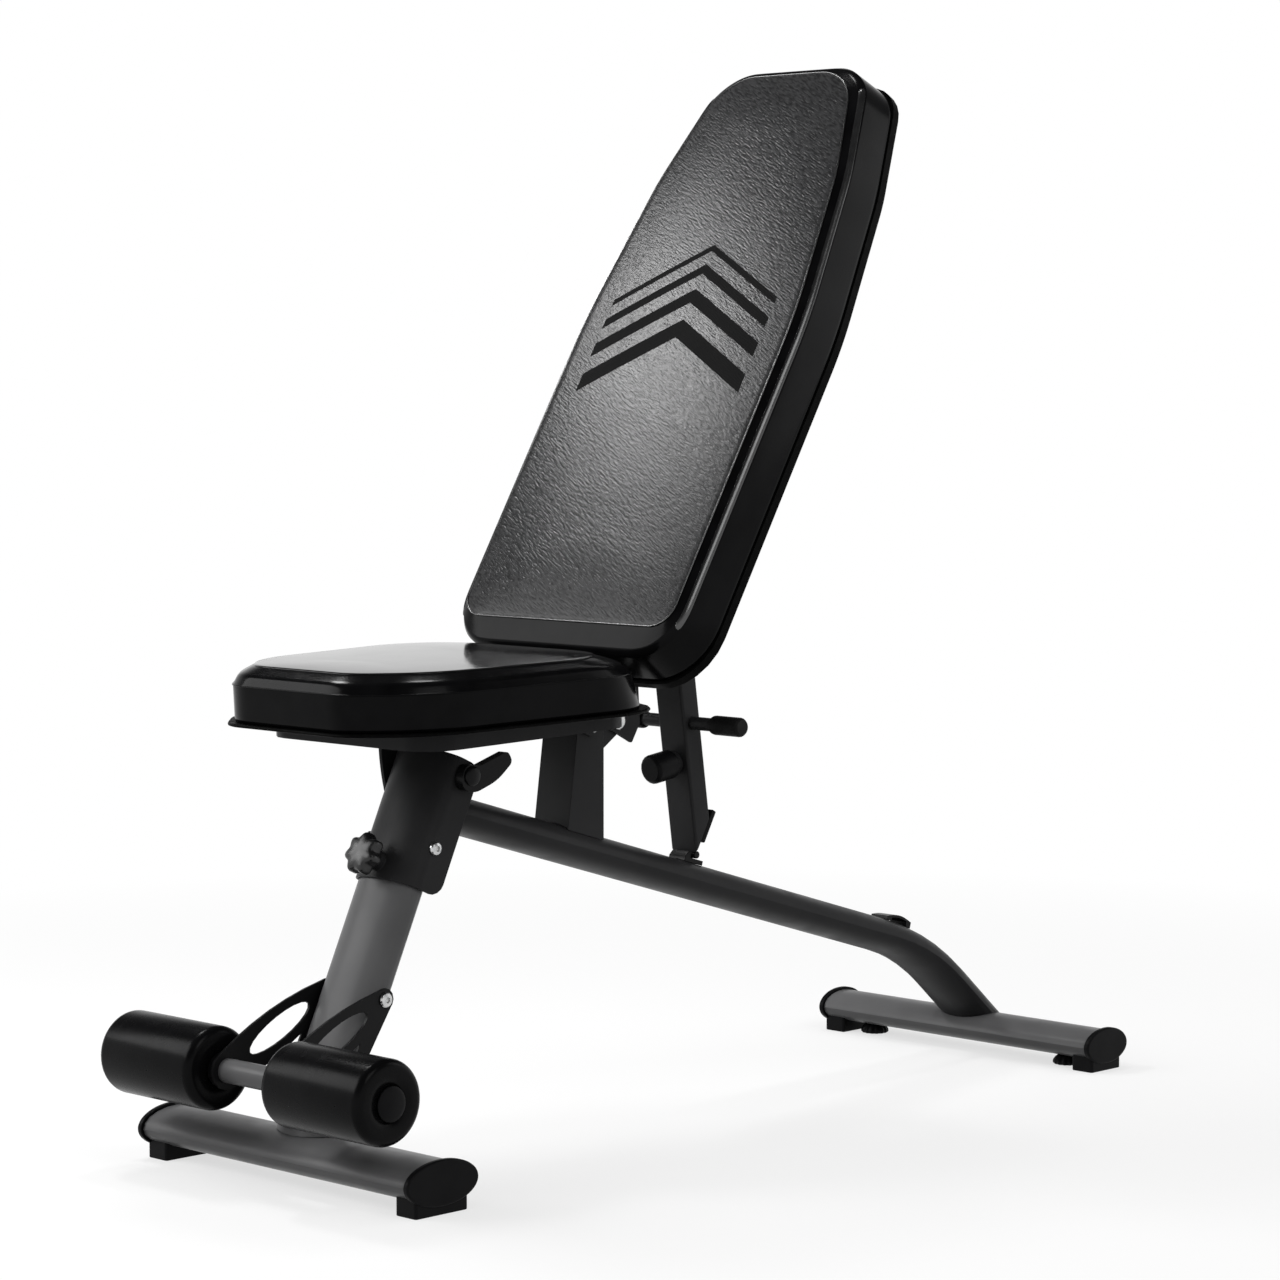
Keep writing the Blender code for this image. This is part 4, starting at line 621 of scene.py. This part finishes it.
def end_cap(node, tube):
    """An oval plug over the end of a foot tube, with the block that it stands on."""
    low, high = (Vector(corner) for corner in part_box(node))
    tube_low, tube_high = (Vector(corner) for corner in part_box(tube))
    middle = (tube_low + tube_high) / 2
    side = 1 if low.y > 0 else -1
    tip = max(abs(low.y), abs(high.y))
    oval = (high.x - low.x, 2 * (high.z - middle.z), PLUG_DEPTH)
    bm = bmesh.new()
    bmesh.ops.create_cone(bm, cap_ends=True, segments=PLUG_SIDES, radius1=0.5, radius2=0.5, depth=1.0)
    upright = Matrix.Translation((middle.x, side * (tip - PLUG_DEPTH / 2), middle.z))
    upright = upright @ Matrix.Rotation(pi / 2, 4, "X") @ Matrix.Diagonal((*oval, 1.0))
    bmesh.ops.transform(bm, matrix=upright, verts=bm.verts)
    rim = [edge for edge in bm.edges if all(abs(abs(v.co.y) - tip) < WELD for v in edge.verts)]
    bmesh.ops.bevel(bm, geom=rim, offset=PLUG_EDGE, affect="EDGES", segments=3, profile=0.5, material=-1)
    half_width = BLOCK_SHARE * (high.x - low.x) - PLUG_EDGE
    out = 2 * half_width / (tube_high.x - tube_low.x)
    rise = middle.z - (tube_high.z - middle.z) * (1 - out ** 2) ** 0.5
    block = bmesh.ops.create_cube(bm, size=1.0)["verts"]
    size = (2 * half_width, high.y - low.y - 2 * PLUG_EDGE, rise + PLUG_EDGE)
    place = Matrix.Translation((middle.x, (low.y + high.y) / 2, size[2] / 2)) @ Matrix.Diagonal((*size, 1.0))
    bmesh.ops.transform(bm, matrix=place, verts=block)
    posts = [edge for edge in bm.edges if edge.verts[0] in block and edge.verts[1] in block
             and abs(edge.verts[0].co.z - edge.verts[1].co.z) > size[2] / 2]
    bmesh.ops.bevel(bm, geom=posts, offset=BLOCK_EDGE, affect="EDGES", segments=3, profile=0.5, material=-1)
    bmesh.ops.recalc_face_normals(bm, faces=bm.faces)
    stand_in(node, bm)


for node in sorted(CAP_NODES):
    end_cap(node, node.rsplit("_", 2)[0] + "_tube")

lip = merged_copy("seat_board")
for point in lip.verts:
    flat = seat_space.inverted() @ point.co
    flat.z = min(flat.z, LIP_TOP)
    point.co = seat_space @ flat
stand_in("seat_board", lip)
print("made", len(CAP_NODES), "foot caps and the seat's lip")

# %% [markdown]
# ## Knobs and button bolts
# The hand knob has seven lobes, the levellers are ribbed for the fingers, and the bolts have button
# heads with a hexagon socket. Lobes and sockets could be cut with booleans, which leave ragged meshes.
# All are turned shapes, so one profile is spun finely instead, and then the points are pushed in
# between the lobes, or out to a hexagon where they lie on the socket's wall.

# %% Turn the knobs and bolts
SPIN_STEPS = 84
KNOB_AT = Vector((-0.377282, 0.0, 0.304772))
KNOB_AXIS = Vector((-0.907399, 0.0, 0.420269))
KNOB_PROFILE = ((0.0, -0.0088), (0.0040, -0.0088), (0.0040, 0.0), (0.0118, 0.0), (0.0128, 0.0053),
                (0.0200, 0.0074), (0.0215, 0.0100), (0.0215, 0.0170), (0.0200, 0.0203), (0.0160, 0.0222),
                (0.0086, 0.0230), (0.0, 0.0231))
LEVELLER_AT = (0.5325, 0.143, 0.0)
LEVELLER_PROFILE = ((0.0, 0.0006), (0.0150, 0.0006), (0.0165, 0.0024), (0.0160, 0.0052), (0.0132, 0.0090),
                    (0.0109, 0.0107), (0.0, 0.0107))
LEG_BOLT_AT = (-0.3375, 0.0, 0.315)
PLATE_BOLT_AT = (-0.402641, 0.0, 0.174352)
SOCKET_R = 0.0026


def along_axis(at, axis):
    """A place whose Z runs along an axis."""
    return Matrix.Translation(at) @ Vector(axis).to_track_quat("Z", "X").to_matrix().to_4x4()


def turn(node, profile, place, flutes=0, depth=0.0, socket=0.0):
    """Spin a profile of (radius, along) points, flute its outside or open its socket to a hexagon."""
    bm = bmesh.new()
    chain = [bm.verts.new((radius, 0.0, along)) for radius, along in profile]
    links = [bm.edges.new(pair) for pair in zip(chain, chain[1:])]
    bmesh.ops.spin(bm, geom=chain + links, cent=(0, 0, 0), axis=(0, 0, 1), angle=2 * pi, steps=SPIN_STEPS,
                   use_merge=True)
    bmesh.ops.remove_doubles(bm, verts=bm.verts, dist=WELD)
    widest = max(radius for radius, along in profile)
    for point in bm.verts:
        radius = hypot(point.co.x, point.co.y)
        angle = atan2(point.co.y, point.co.x)
        reach = radius - depth * (radius / widest) ** 2 * (1 - cos(flutes * angle)) / 2
        if socket and abs(radius - socket) < WELD:
            reach = socket / cos(angle % (pi / 3) - pi / 6)
        if radius > 0:
            point.co.xy *= reach / radius
    bmesh.ops.recalc_face_normals(bm, faces=bm.faces)
    bmesh.ops.transform(bm, matrix=place, verts=bm.verts)
    stand_in(node, bm)


def button_bolt(shank_r, start, head_at, head_r, head_h):
    """Profile of a bolt with a domed head and the floor of its socket."""
    top = head_at + head_h
    rim = head_at + head_h * 0.35
    dome = head_at + head_h * 0.75
    socket_floor = head_at + head_h * 0.4
    return ((0.0, start), (shank_r, start), (shank_r, head_at), (head_r, head_at), (head_r, rim),
            (head_r * 0.86, dome), (SOCKET_R * 1.35, top), (SOCKET_R, top), (SOCKET_R, socket_floor),
            (0.0, socket_floor))


turn("star_knob", KNOB_PROFILE, along_axis(KNOB_AT, KNOB_AXIS), flutes=7, depth=0.0044)
for hand, side in (("left", -1), ("right", 1)):
    x, y, z = LEVELLER_AT
    under = Matrix.Translation((x, side * y, z))
    turn("rear_leveller_" + hand, LEVELLER_PROFILE, under, flutes=14, depth=0.0014)
    plate_bolt = button_bolt(shank_r=0.0040, start=0.0370, head_at=0.0446, head_r=0.0075, head_h=0.0040)
    turn("roller_plate_bolt_" + hand, plate_bolt, along_axis(PLATE_BOLT_AT, (0, side, 0)), socket=SOCKET_R)
leg_bolt = button_bolt(shank_r=0.0050, start=-0.0528, head_at=0.0448, head_r=0.0068, head_h=0.0045)
turn("leg_pivot_bolt", leg_bolt, along_axis(LEG_BOLT_AT, (0, -1, 0)), socket=SOCKET_R)
print("turned", len(TURNED_NODES), "pieces")

# %% [markdown]
# ## Foam ankle rollers
# Each roller is a thick foam tube with a glossy closed skin, slipped over the cross bar. Its rims are
# well rounded and its end faces dish in slightly towards the bar. Closed foam doesn't swell or crease
# as a cover does, so it needs no cloth simulation: a short profile spun round the bar's axis gives the
# tube, and a wide bevel on the two rims gives the soft shoulders.

# %% Spin the rollers
ROLLER_AXIS = Vector((-0.5275, 0.0, 0.111))
ROLLER_R = 0.041
ROLLER_BORE = 0.0136
ROLLER_INNER = 0.052
ROLLER_OUTER = 0.192
RIM = 0.009
DISH = 0.0006
ROLLER_STEPS = 96


def spin_roller(hand, side):
    """A foam tube round the bar on one side of the leg."""
    bm = bmesh.new()
    reach = (ROLLER_R + ROLLER_BORE) / 2
    profile = [(ROLLER_BORE, ROLLER_INNER + DISH), (reach, ROLLER_INNER), (ROLLER_R, ROLLER_INNER),
               (ROLLER_R, ROLLER_OUTER), (reach, ROLLER_OUTER), (ROLLER_BORE, ROLLER_OUTER - DISH)]
    ring = [bm.verts.new((0.0, side * along, radius)) for radius, along in profile]
    chain = [bm.edges.new((first, second)) for first, second in zip(ring, ring[1:] + ring[:1])]
    bmesh.ops.spin(bm, geom=ring + chain, cent=(0, 0, 0), axis=(0, 1, 0), angle=2 * pi, steps=ROLLER_STEPS,
                   use_merge=True)
    bmesh.ops.remove_doubles(bm, verts=bm.verts, dist=WELD)
    rims = [edge for edge in bm.edges
            if all(abs(Vector((v.co.x, 0, v.co.z)).length - ROLLER_R) < 0.0001 for v in edge.verts)
            and abs(edge.verts[0].co.y - edge.verts[1].co.y) < 0.0001]
    bmesh.ops.bevel(bm, geom=rims, offset=RIM, affect="EDGES", segments=7, profile=0.5, material=-1)
    bmesh.ops.translate(bm, verts=bm.verts, vec=ROLLER_AXIS)
    bmesh.ops.recalc_face_normals(bm, faces=bm.faces)
    roller = new_piece("roller_foam_" + hand, bm, "foam_skin", "roller_" + hand)
    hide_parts("foam_roller_" + hand)
    print(roller.name, len(roller.data.polygons), "faces")


for hand, side in (("left", -1), ("right", 1)):
    spin_roller(hand, side)

# %% [markdown]
# ## Outlines to sew along
# A cover is cut and sewn along outlines, so the cushions are built from them too. An outline starts
# from a few corner points in the cushion's own plane. A vertex bevel rounds each corner, walking
# round the one face gives the points in order, and they are then spaced evenly, so that point number
# forty of one outline always lies above point number forty of the next.

# %% Outline helpers
SEAT_COLUMNS = 160
BACK_COLUMNS = 224
CORNER_SEGMENTS = 10
CORNER_SHARE = 0.48


def evenly(walk, count):
    """Space points evenly round a closed walk, from where it crosses the middle at its low end."""
    pairs = list(zip(walk, walk[1:] + walk[:1]))
    crossings = [k for k, (first, second) in enumerate(pairs) if (first.y > 0) != (second.y > 0)]
    cross = min(crossings, key=lambda k: pairs[k][0].x)
    first, second = pairs[cross]
    start = first.lerp(second, first.y / (first.y - second.y))
    path = [start] + walk[cross + 1:] + walk[:cross + 1] + [start]
    lengths = [0.0]
    for one, two in zip(path, path[1:]):
        lengths.append(lengths[-1] + (two - one).length)
    points = []
    part = 0
    for step in range(count):
        goal = lengths[-1] * step / count
        while lengths[part + 1] < goal:
            part += 1
        share = (goal - lengths[part]) / max(lengths[part + 1] - lengths[part], 1e-9)
        points.append(path[part].lerp(path[part + 1], share))
    return points


def outline(half, count):
    """Even points round a mirrored outline; half of it is given as corners (along, out, radius)."""
    ring = [(x, -y, r) for x, y, r in half] + [(x, y, r) for x, y, r in reversed(half)]
    bm = bmesh.new()
    knots = [bm.verts.new((x, y, 0.0)) for x, y, r in ring]
    bm.faces.new(knots)
    reaches = []
    for k, knot in enumerate(knots):
        back = knots[k - 1].co - knot.co
        ahead = knots[(k + 1) % len(knots)].co - knot.co
        reach = ring[k][2] / tan(back.angle(ahead) / 2)
        reaches.append(min(reach, CORNER_SHARE * back.length, CORNER_SHARE * ahead.length))
    for knot, reach in zip(knots, reaches):
        bmesh.ops.bevel(bm, geom=[knot], offset=reach, affect="VERTICES", segments=CORNER_SEGMENTS,
                        profile=0.5, material=-1)
    bm.faces.ensure_lookup_table()
    walk = [loop.vert.co.copy() for loop in bm.faces[0].loops]
    bm.free()
    return evenly(walk, count)


def seat_half(inset, low_inset):
    """The seat's plan from its narrow nose to its wide rear, drawn in by an inset."""
    nose = -0.381 + inset
    shoulder = (nose + 0.062 - inset * 0.4, 0.146 - inset, 0.135)
    return [(nose, 0.082 - inset * 0.5, 0.045), shoulder, (-0.014 - low_inset, 0.166 - inset, 0.080)]


def back_half(inset, low_inset):
    """The backrest's outline from its low end to its tapered top, drawn in by an inset."""
    return [(0.027 + low_inset, 0.162 - inset, 0.060 - low_inset), (0.425, 0.162 - inset, 0.500),
            (0.5966, 0.1394 - inset, 0.300), (0.737 - inset, 0.103 - inset, 0.058)]


for half, columns in ((seat_half, SEAT_COLUMNS), (back_half, BACK_COLUMNS)):
    print(half.__name__, "outline has", len(outline(half(0, 0), columns)), "points")

# %% [markdown]
# ## Cutting a cover
# A cushion is foam pulled into a sewn cover, so it is neither a box nor a balloon. A rounded box or a
# sculpted block would have no seams to pull on. Here rows of points run from under the pad, up the
# side, over the seams and in to a line along the middle of the top, and a grid wrapped through those
# rows is the empty cover.

# %% Cover helpers
UNDER_ROWS = 3
TOP_ROWS = 10


def cover_rows(half, levels, spine, crown, count):
    """Rows of points for a cover; also the number of the row that each level starts."""
    keys = []
    for inset, low_inset, z, _, _ in levels:
        keys.append([Vector((p.x, p.y, z)) for p in outline(half(inset, low_inset), count)])

    def inward(key, share, rise):
        middles = [Vector((min(max(p.x, spine[0]), spine[1]), 0.0, p.z)) for p in key]
        return [p.lerp(m, share) + Vector((0, 0, rise)) for p, m in zip(key, middles)]

    rows = [inward(keys[0], 1 - k / UNDER_ROWS, 0.0) for k in range(UNDER_ROWS)]
    starts = []
    for key, above, level in zip(keys, keys[1:], levels):
        starts.append(len(rows))
        rows += [[a.lerp(b, k / level[3]) for a, b in zip(key, above)] for k in range(level[3])]
    starts.append(len(rows))
    shares = [k / TOP_ROWS for k in range(TOP_ROWS + 1)]
    rows += [inward(keys[-1], share, crown * (1 - (1 - share) ** 2)) for share in shares]
    return rows, starts


def wrap_grid(rows):
    """A closed mesh through rows of points, with each point's row and column kept on it."""
    count = len(rows[0])
    bm = bmesh.new()
    bmesh.ops.create_grid(bm, x_segments=count, y_segments=len(rows) - 1, size=1.0)
    row_of = bm.verts.layers.int.new("row")
    column_of = bm.verts.layers.int.new("column")
    for point in bm.verts:
        column = round((point.co.x + 1) / 2 * count) % count
        row = round((point.co.y + 1) / 2 * (len(rows) - 1))
        point[row_of] = row
        point[column_of] = column
        point.co = rows[row][column]
    bmesh.ops.remove_doubles(bm, verts=bm.verts, dist=WELD)
    bmesh.ops.recalc_face_normals(bm, faces=bm.faces)
    return bm


print("a cover has", UNDER_ROWS, "rows under the pad and", TOP_ROWS, "on its top")

# %% [markdown]
# ## Filling a cover
# The cover is blown up as cloth for twenty frames with no gravity: the seams and the underside are
# pinned, and the cloth between them swells. Scaling it up would move the seams as well. The move of
# each point is capped softly, so that the pad gains a few millimetres and the seams stay sharp.

# %% Filling helpers
SWELL_CAP = 0.0030
CLOTH_FRAMES = 20
PRESSURE = 4.0


def blow_up(name, bm, pinned):
    """Swell a cover as cloth under pressure and return where its points would go."""
    mesh = bpy.data.meshes.new(name)
    bm.to_mesh(mesh)
    form = bpy.data.objects.new(name, mesh)
    bpy.context.scene.collection.objects.link(form)
    form.vertex_groups.new(name="sewn").add(pinned, 1.0, "REPLACE")
    cloth = form.modifiers.new("cover", "CLOTH")
    cloth.settings.vertex_group_mass = "sewn"
    cloth.settings.use_pressure = True
    cloth.settings.uniform_pressure_force = PRESSURE
    cloth.settings.quality = 5
    cloth.settings.effector_weights.gravity = 0.0
    cloth.point_cache.frame_start = 1
    cloth.point_cache.frame_end = CLOTH_FRAMES
    for step in range(1, CLOTH_FRAMES + 1):
        bpy.context.scene.frame_set(step)
    swollen = form.evaluated_get(bpy.context.evaluated_depsgraph_get())
    goal = [point.co.copy() for point in swollen.data.vertices]
    bpy.data.objects.remove(form)
    bpy.context.scene.frame_set(1)
    return goal


def fill_cover(name, rows, starts, levels, space):
    """The filled cover as a bmesh in the bench's frame, and its sewn outlines as lists of points."""
    bm = wrap_grid(rows)
    row_of = bm.verts.layers.int["row"]
    column_of = bm.verts.layers.int["column"]
    pinned = [k for k, point in enumerate(bm.verts) if point[row_of] <= starts[0] or point[row_of] in starts]
    most = 0.0
    for point, end in zip(bm.verts, blow_up(name + "_form", bm, pinned)):
        move = end - point.co
        most = max(most, move.length)
        point.co += move.normalized() * SWELL_CAP * tanh(move.length / (2 * SWELL_CAP))
        point.co.z = max(point.co.z, levels[0][2])
    bmesh.ops.transform(bm, matrix=space, verts=bm.verts)
    creases = {start: level[4] for start, level in zip(starts, levels)}
    crease = bm.edges.layers.float.new("crease_edge")
    for edge in bm.edges:
        first, second = (point[row_of] for point in edge.verts)
        if first == second and first in creases:
            edge[crease] = creases[first]
    sewn = []
    for start in starts:
        ring = [point for point in bm.verts if point[row_of] == start]
        sewn.append([point.co.copy() for point in sorted(ring, key=lambda point: point[column_of])])
    print(name, len(bm.faces), "faces, the cloth moved by up to", round(most, 4), "m before the cap")
    return bm, sewn


def finer(piece):
    """Round a cover off with one subdivision."""
    smooth = piece.modifiers.new("finer", "SUBSURF")
    smooth.levels = smooth.render_levels = 1


print("covers swell for", CLOTH_FRAMES, "frames, by up to", SWELL_CAP, "m")

# %% [markdown]
# ## Laying a second cloth
# A panel or a band is a second cloth on the cushion. A separate sheet could be shrunk on to it, but it
# might sink in or stand off. So a copy of some of the cover's own rows is lifted off and given a
# thickness, and it follows the same foam.

# %% Cloth helper
LIFT = 0.0008
CLOTH_THICKNESS = 0.0016
FLAT_WEIGHT = 95
WHOLE = (-1.0, 1.0)


def lay_cloth(name, cover, body, space, rows, reach, slot, finish=None):
    """Lift the cover's faces between two rows, within a reach along the cushion, off as a cloth."""
    cloth = cover.copy()
    row_of = cloth.verts.layers.int["row"]
    others = []
    for face in cloth.faces:
        face_rows = [point[row_of] for point in face.verts]
        along = (space.inverted() @ face.calc_center_median()).x
        if min(face_rows) < rows[0] or max(face_rows) > rows[1] or not reach[0] < along < reach[1]:
            others.append(face)
    bmesh.ops.delete(cloth, geom=others, context="FACES")
    cloth.normal_update()
    for point in cloth.verts:
        point.co += point.normal * LIFT
    piece = new_piece(name, cloth, slot, body, finish)
    finer(piece)
    wall = piece.modifiers.new("cloth_thickness", "SOLIDIFY")
    wall.thickness = CLOTH_THICKNESS
    wall.offset = -1.0
    even = piece.modifiers.new("even_shading", "WEIGHTED_NORMAL")
    even.weight = FLAT_WEIGHT
    print(name, len(piece.data.polygons), "faces")


print("a laid cloth is", CLOTH_THICKNESS, "m thick and stands", LIFT, "m off the cover")

# %% [markdown]
# ## The seat cushion
# The seat narrows to a nose at the front. Its cover is black cloth: an upright wall, a seam, a round
# shoulder that leans further in at the rear, and a flat top that is worn smooth. The top could be a
# second material on the cover, but a laid cloth keeps a clean edge. Each level below is an inset from
# the outline, another inset at the rear, a height, the number of rows up to the next level, and how
# sharp its line stays.

# %% Fill the seat
SEAT_LEVELS = ((0.0010, 0.0030, 0.0276, 6, 0.8), (0.0, 0.0170, 0.0635, 3, 1.0),
               (0.0050, 0.0260, 0.0735, 3, 0.0), (0.0190, 0.0480, 0.0812, 1, 0.35))
SEAT_SPINE = (-0.285, -0.155)
SEAT_CROWN = 0.0

seat_rows, seat_starts = cover_rows(seat_half, SEAT_LEVELS, SEAT_SPINE, SEAT_CROWN, SEAT_COLUMNS)
seat_cover, seat_seams = fill_cover("seat_cushion", seat_rows, seat_starts, SEAT_LEVELS, seat_space)
top_rows = (seat_starts[3], len(seat_rows))
lay_cloth("seat_top", seat_cover, "seat", seat_space, top_rows, WHOLE, "black_leather", "worn_leather")
seat_cushion = new_piece("seat_cushion", seat_cover, "black_leather", "seat")
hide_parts("seat_pad")
finer(seat_cushion)

# %% [markdown]
# ## The backrest cushion, its edge band and its grey panel
# The backrest has black sides and a narrow black border that is wider at its low end, with a flat
# glossy band sewn in between. A grey panel is its front. The black body is filled like the seat, with
# a slight crown, and the band and the panel are then laid on it. The band could be a raised cord, but
# on the real cushion it is flat, so it is one row of the cover.

# %% Fill the backrest and lay the cloth on it
BACK_LEVELS = ((-0.0034, -0.0010, 0.0479, 8, 0.8), (0.0, 0.0040, 0.0920, 1, 1.0),
               (0.0042, 0.0080, 0.0976, 4, 1.0), (0.0118, 0.0338, 0.1020, 1, 1.0))
BAND_REACH = (0.060, 0.705)
BACK_SPINE = (0.170, 0.640)
BACK_CROWN = 0.002

back_rows, back_starts = cover_rows(back_half, BACK_LEVELS, BACK_SPINE, BACK_CROWN, BACK_COLUMNS)
back_cover, back_seams = fill_cover("back_cushion", back_rows, back_starts, BACK_LEVELS, back_space)
panel_rows = (back_starts[3], len(back_rows))
band_rows = (back_starts[1], back_starts[2])
lay_cloth("back_panel", back_cover, "backrest", back_space, panel_rows, WHOLE, "grey_leather")
lay_cloth("back_edge_band", back_cover, "backrest", back_space, band_rows, BAND_REACH, "black_leather",
          "piping")
back_cushion = new_piece("back_cushion", back_cover, "black_leather", "backrest")
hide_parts("back_pad")
finer(back_cushion)

# %% [markdown]
# ## Sewn ridges
# Where two pieces of cover meet, the folded seam makes a narrow raised ridge that catches a thin line
# of light. A bump in the finish would look flat from the side, so a curve with a round bevel is laid
# along the seam's own points and turned into a mesh. One ridge frames the grey panel, and another runs
# round the seat under its shoulder.

# %% Sew the ridges
RIDGE_R = 0.0008


def sew_ridge(name, points, body, lift=Vector(), finish=None):
    """A closed round ridge through points of the bench, lifted to lie on the cloth."""
    thread = bpy.data.curves.new(name, "CURVE")
    thread.dimensions = "3D"
    thread.bevel_depth = RIDGE_R
    thread.bevel_resolution = 3
    path = thread.splines.new("POLY")
    path.points.add(len(points) - 1)
    for knot, point in zip(path.points, points):
        knot.co = (*(point + lift), 1.0)
    path.use_cyclic_u = True
    maker = bpy.data.objects.new(name + "_curve", thread)
    bpy.context.scene.collection.objects.link(maker)
    rounded = maker.evaluated_get(bpy.context.evaluated_depsgraph_get())
    bm = bmesh.new()
    bm.from_mesh(bpy.data.meshes.new_from_object(rounded))
    bpy.data.objects.remove(maker)
    bmesh.ops.remove_doubles(bm, verts=bm.verts, dist=WELD)
    bmesh.ops.recalc_face_normals(bm, faces=bm.faces)
    ridge = new_piece(name, bm, "black_leather", body, finish)
    print(name, len(points), "points", len(ridge.data.polygons), "faces")


off_the_panel = back_space.to_3x3() @ Vector((0.0, 0.0, LIFT))
sew_ridge("back_panel_ridge", back_seams[3], "backrest", off_the_panel, "piping")
sew_ridge("seat_shoulder_ridge", seat_seams[1], "seat")
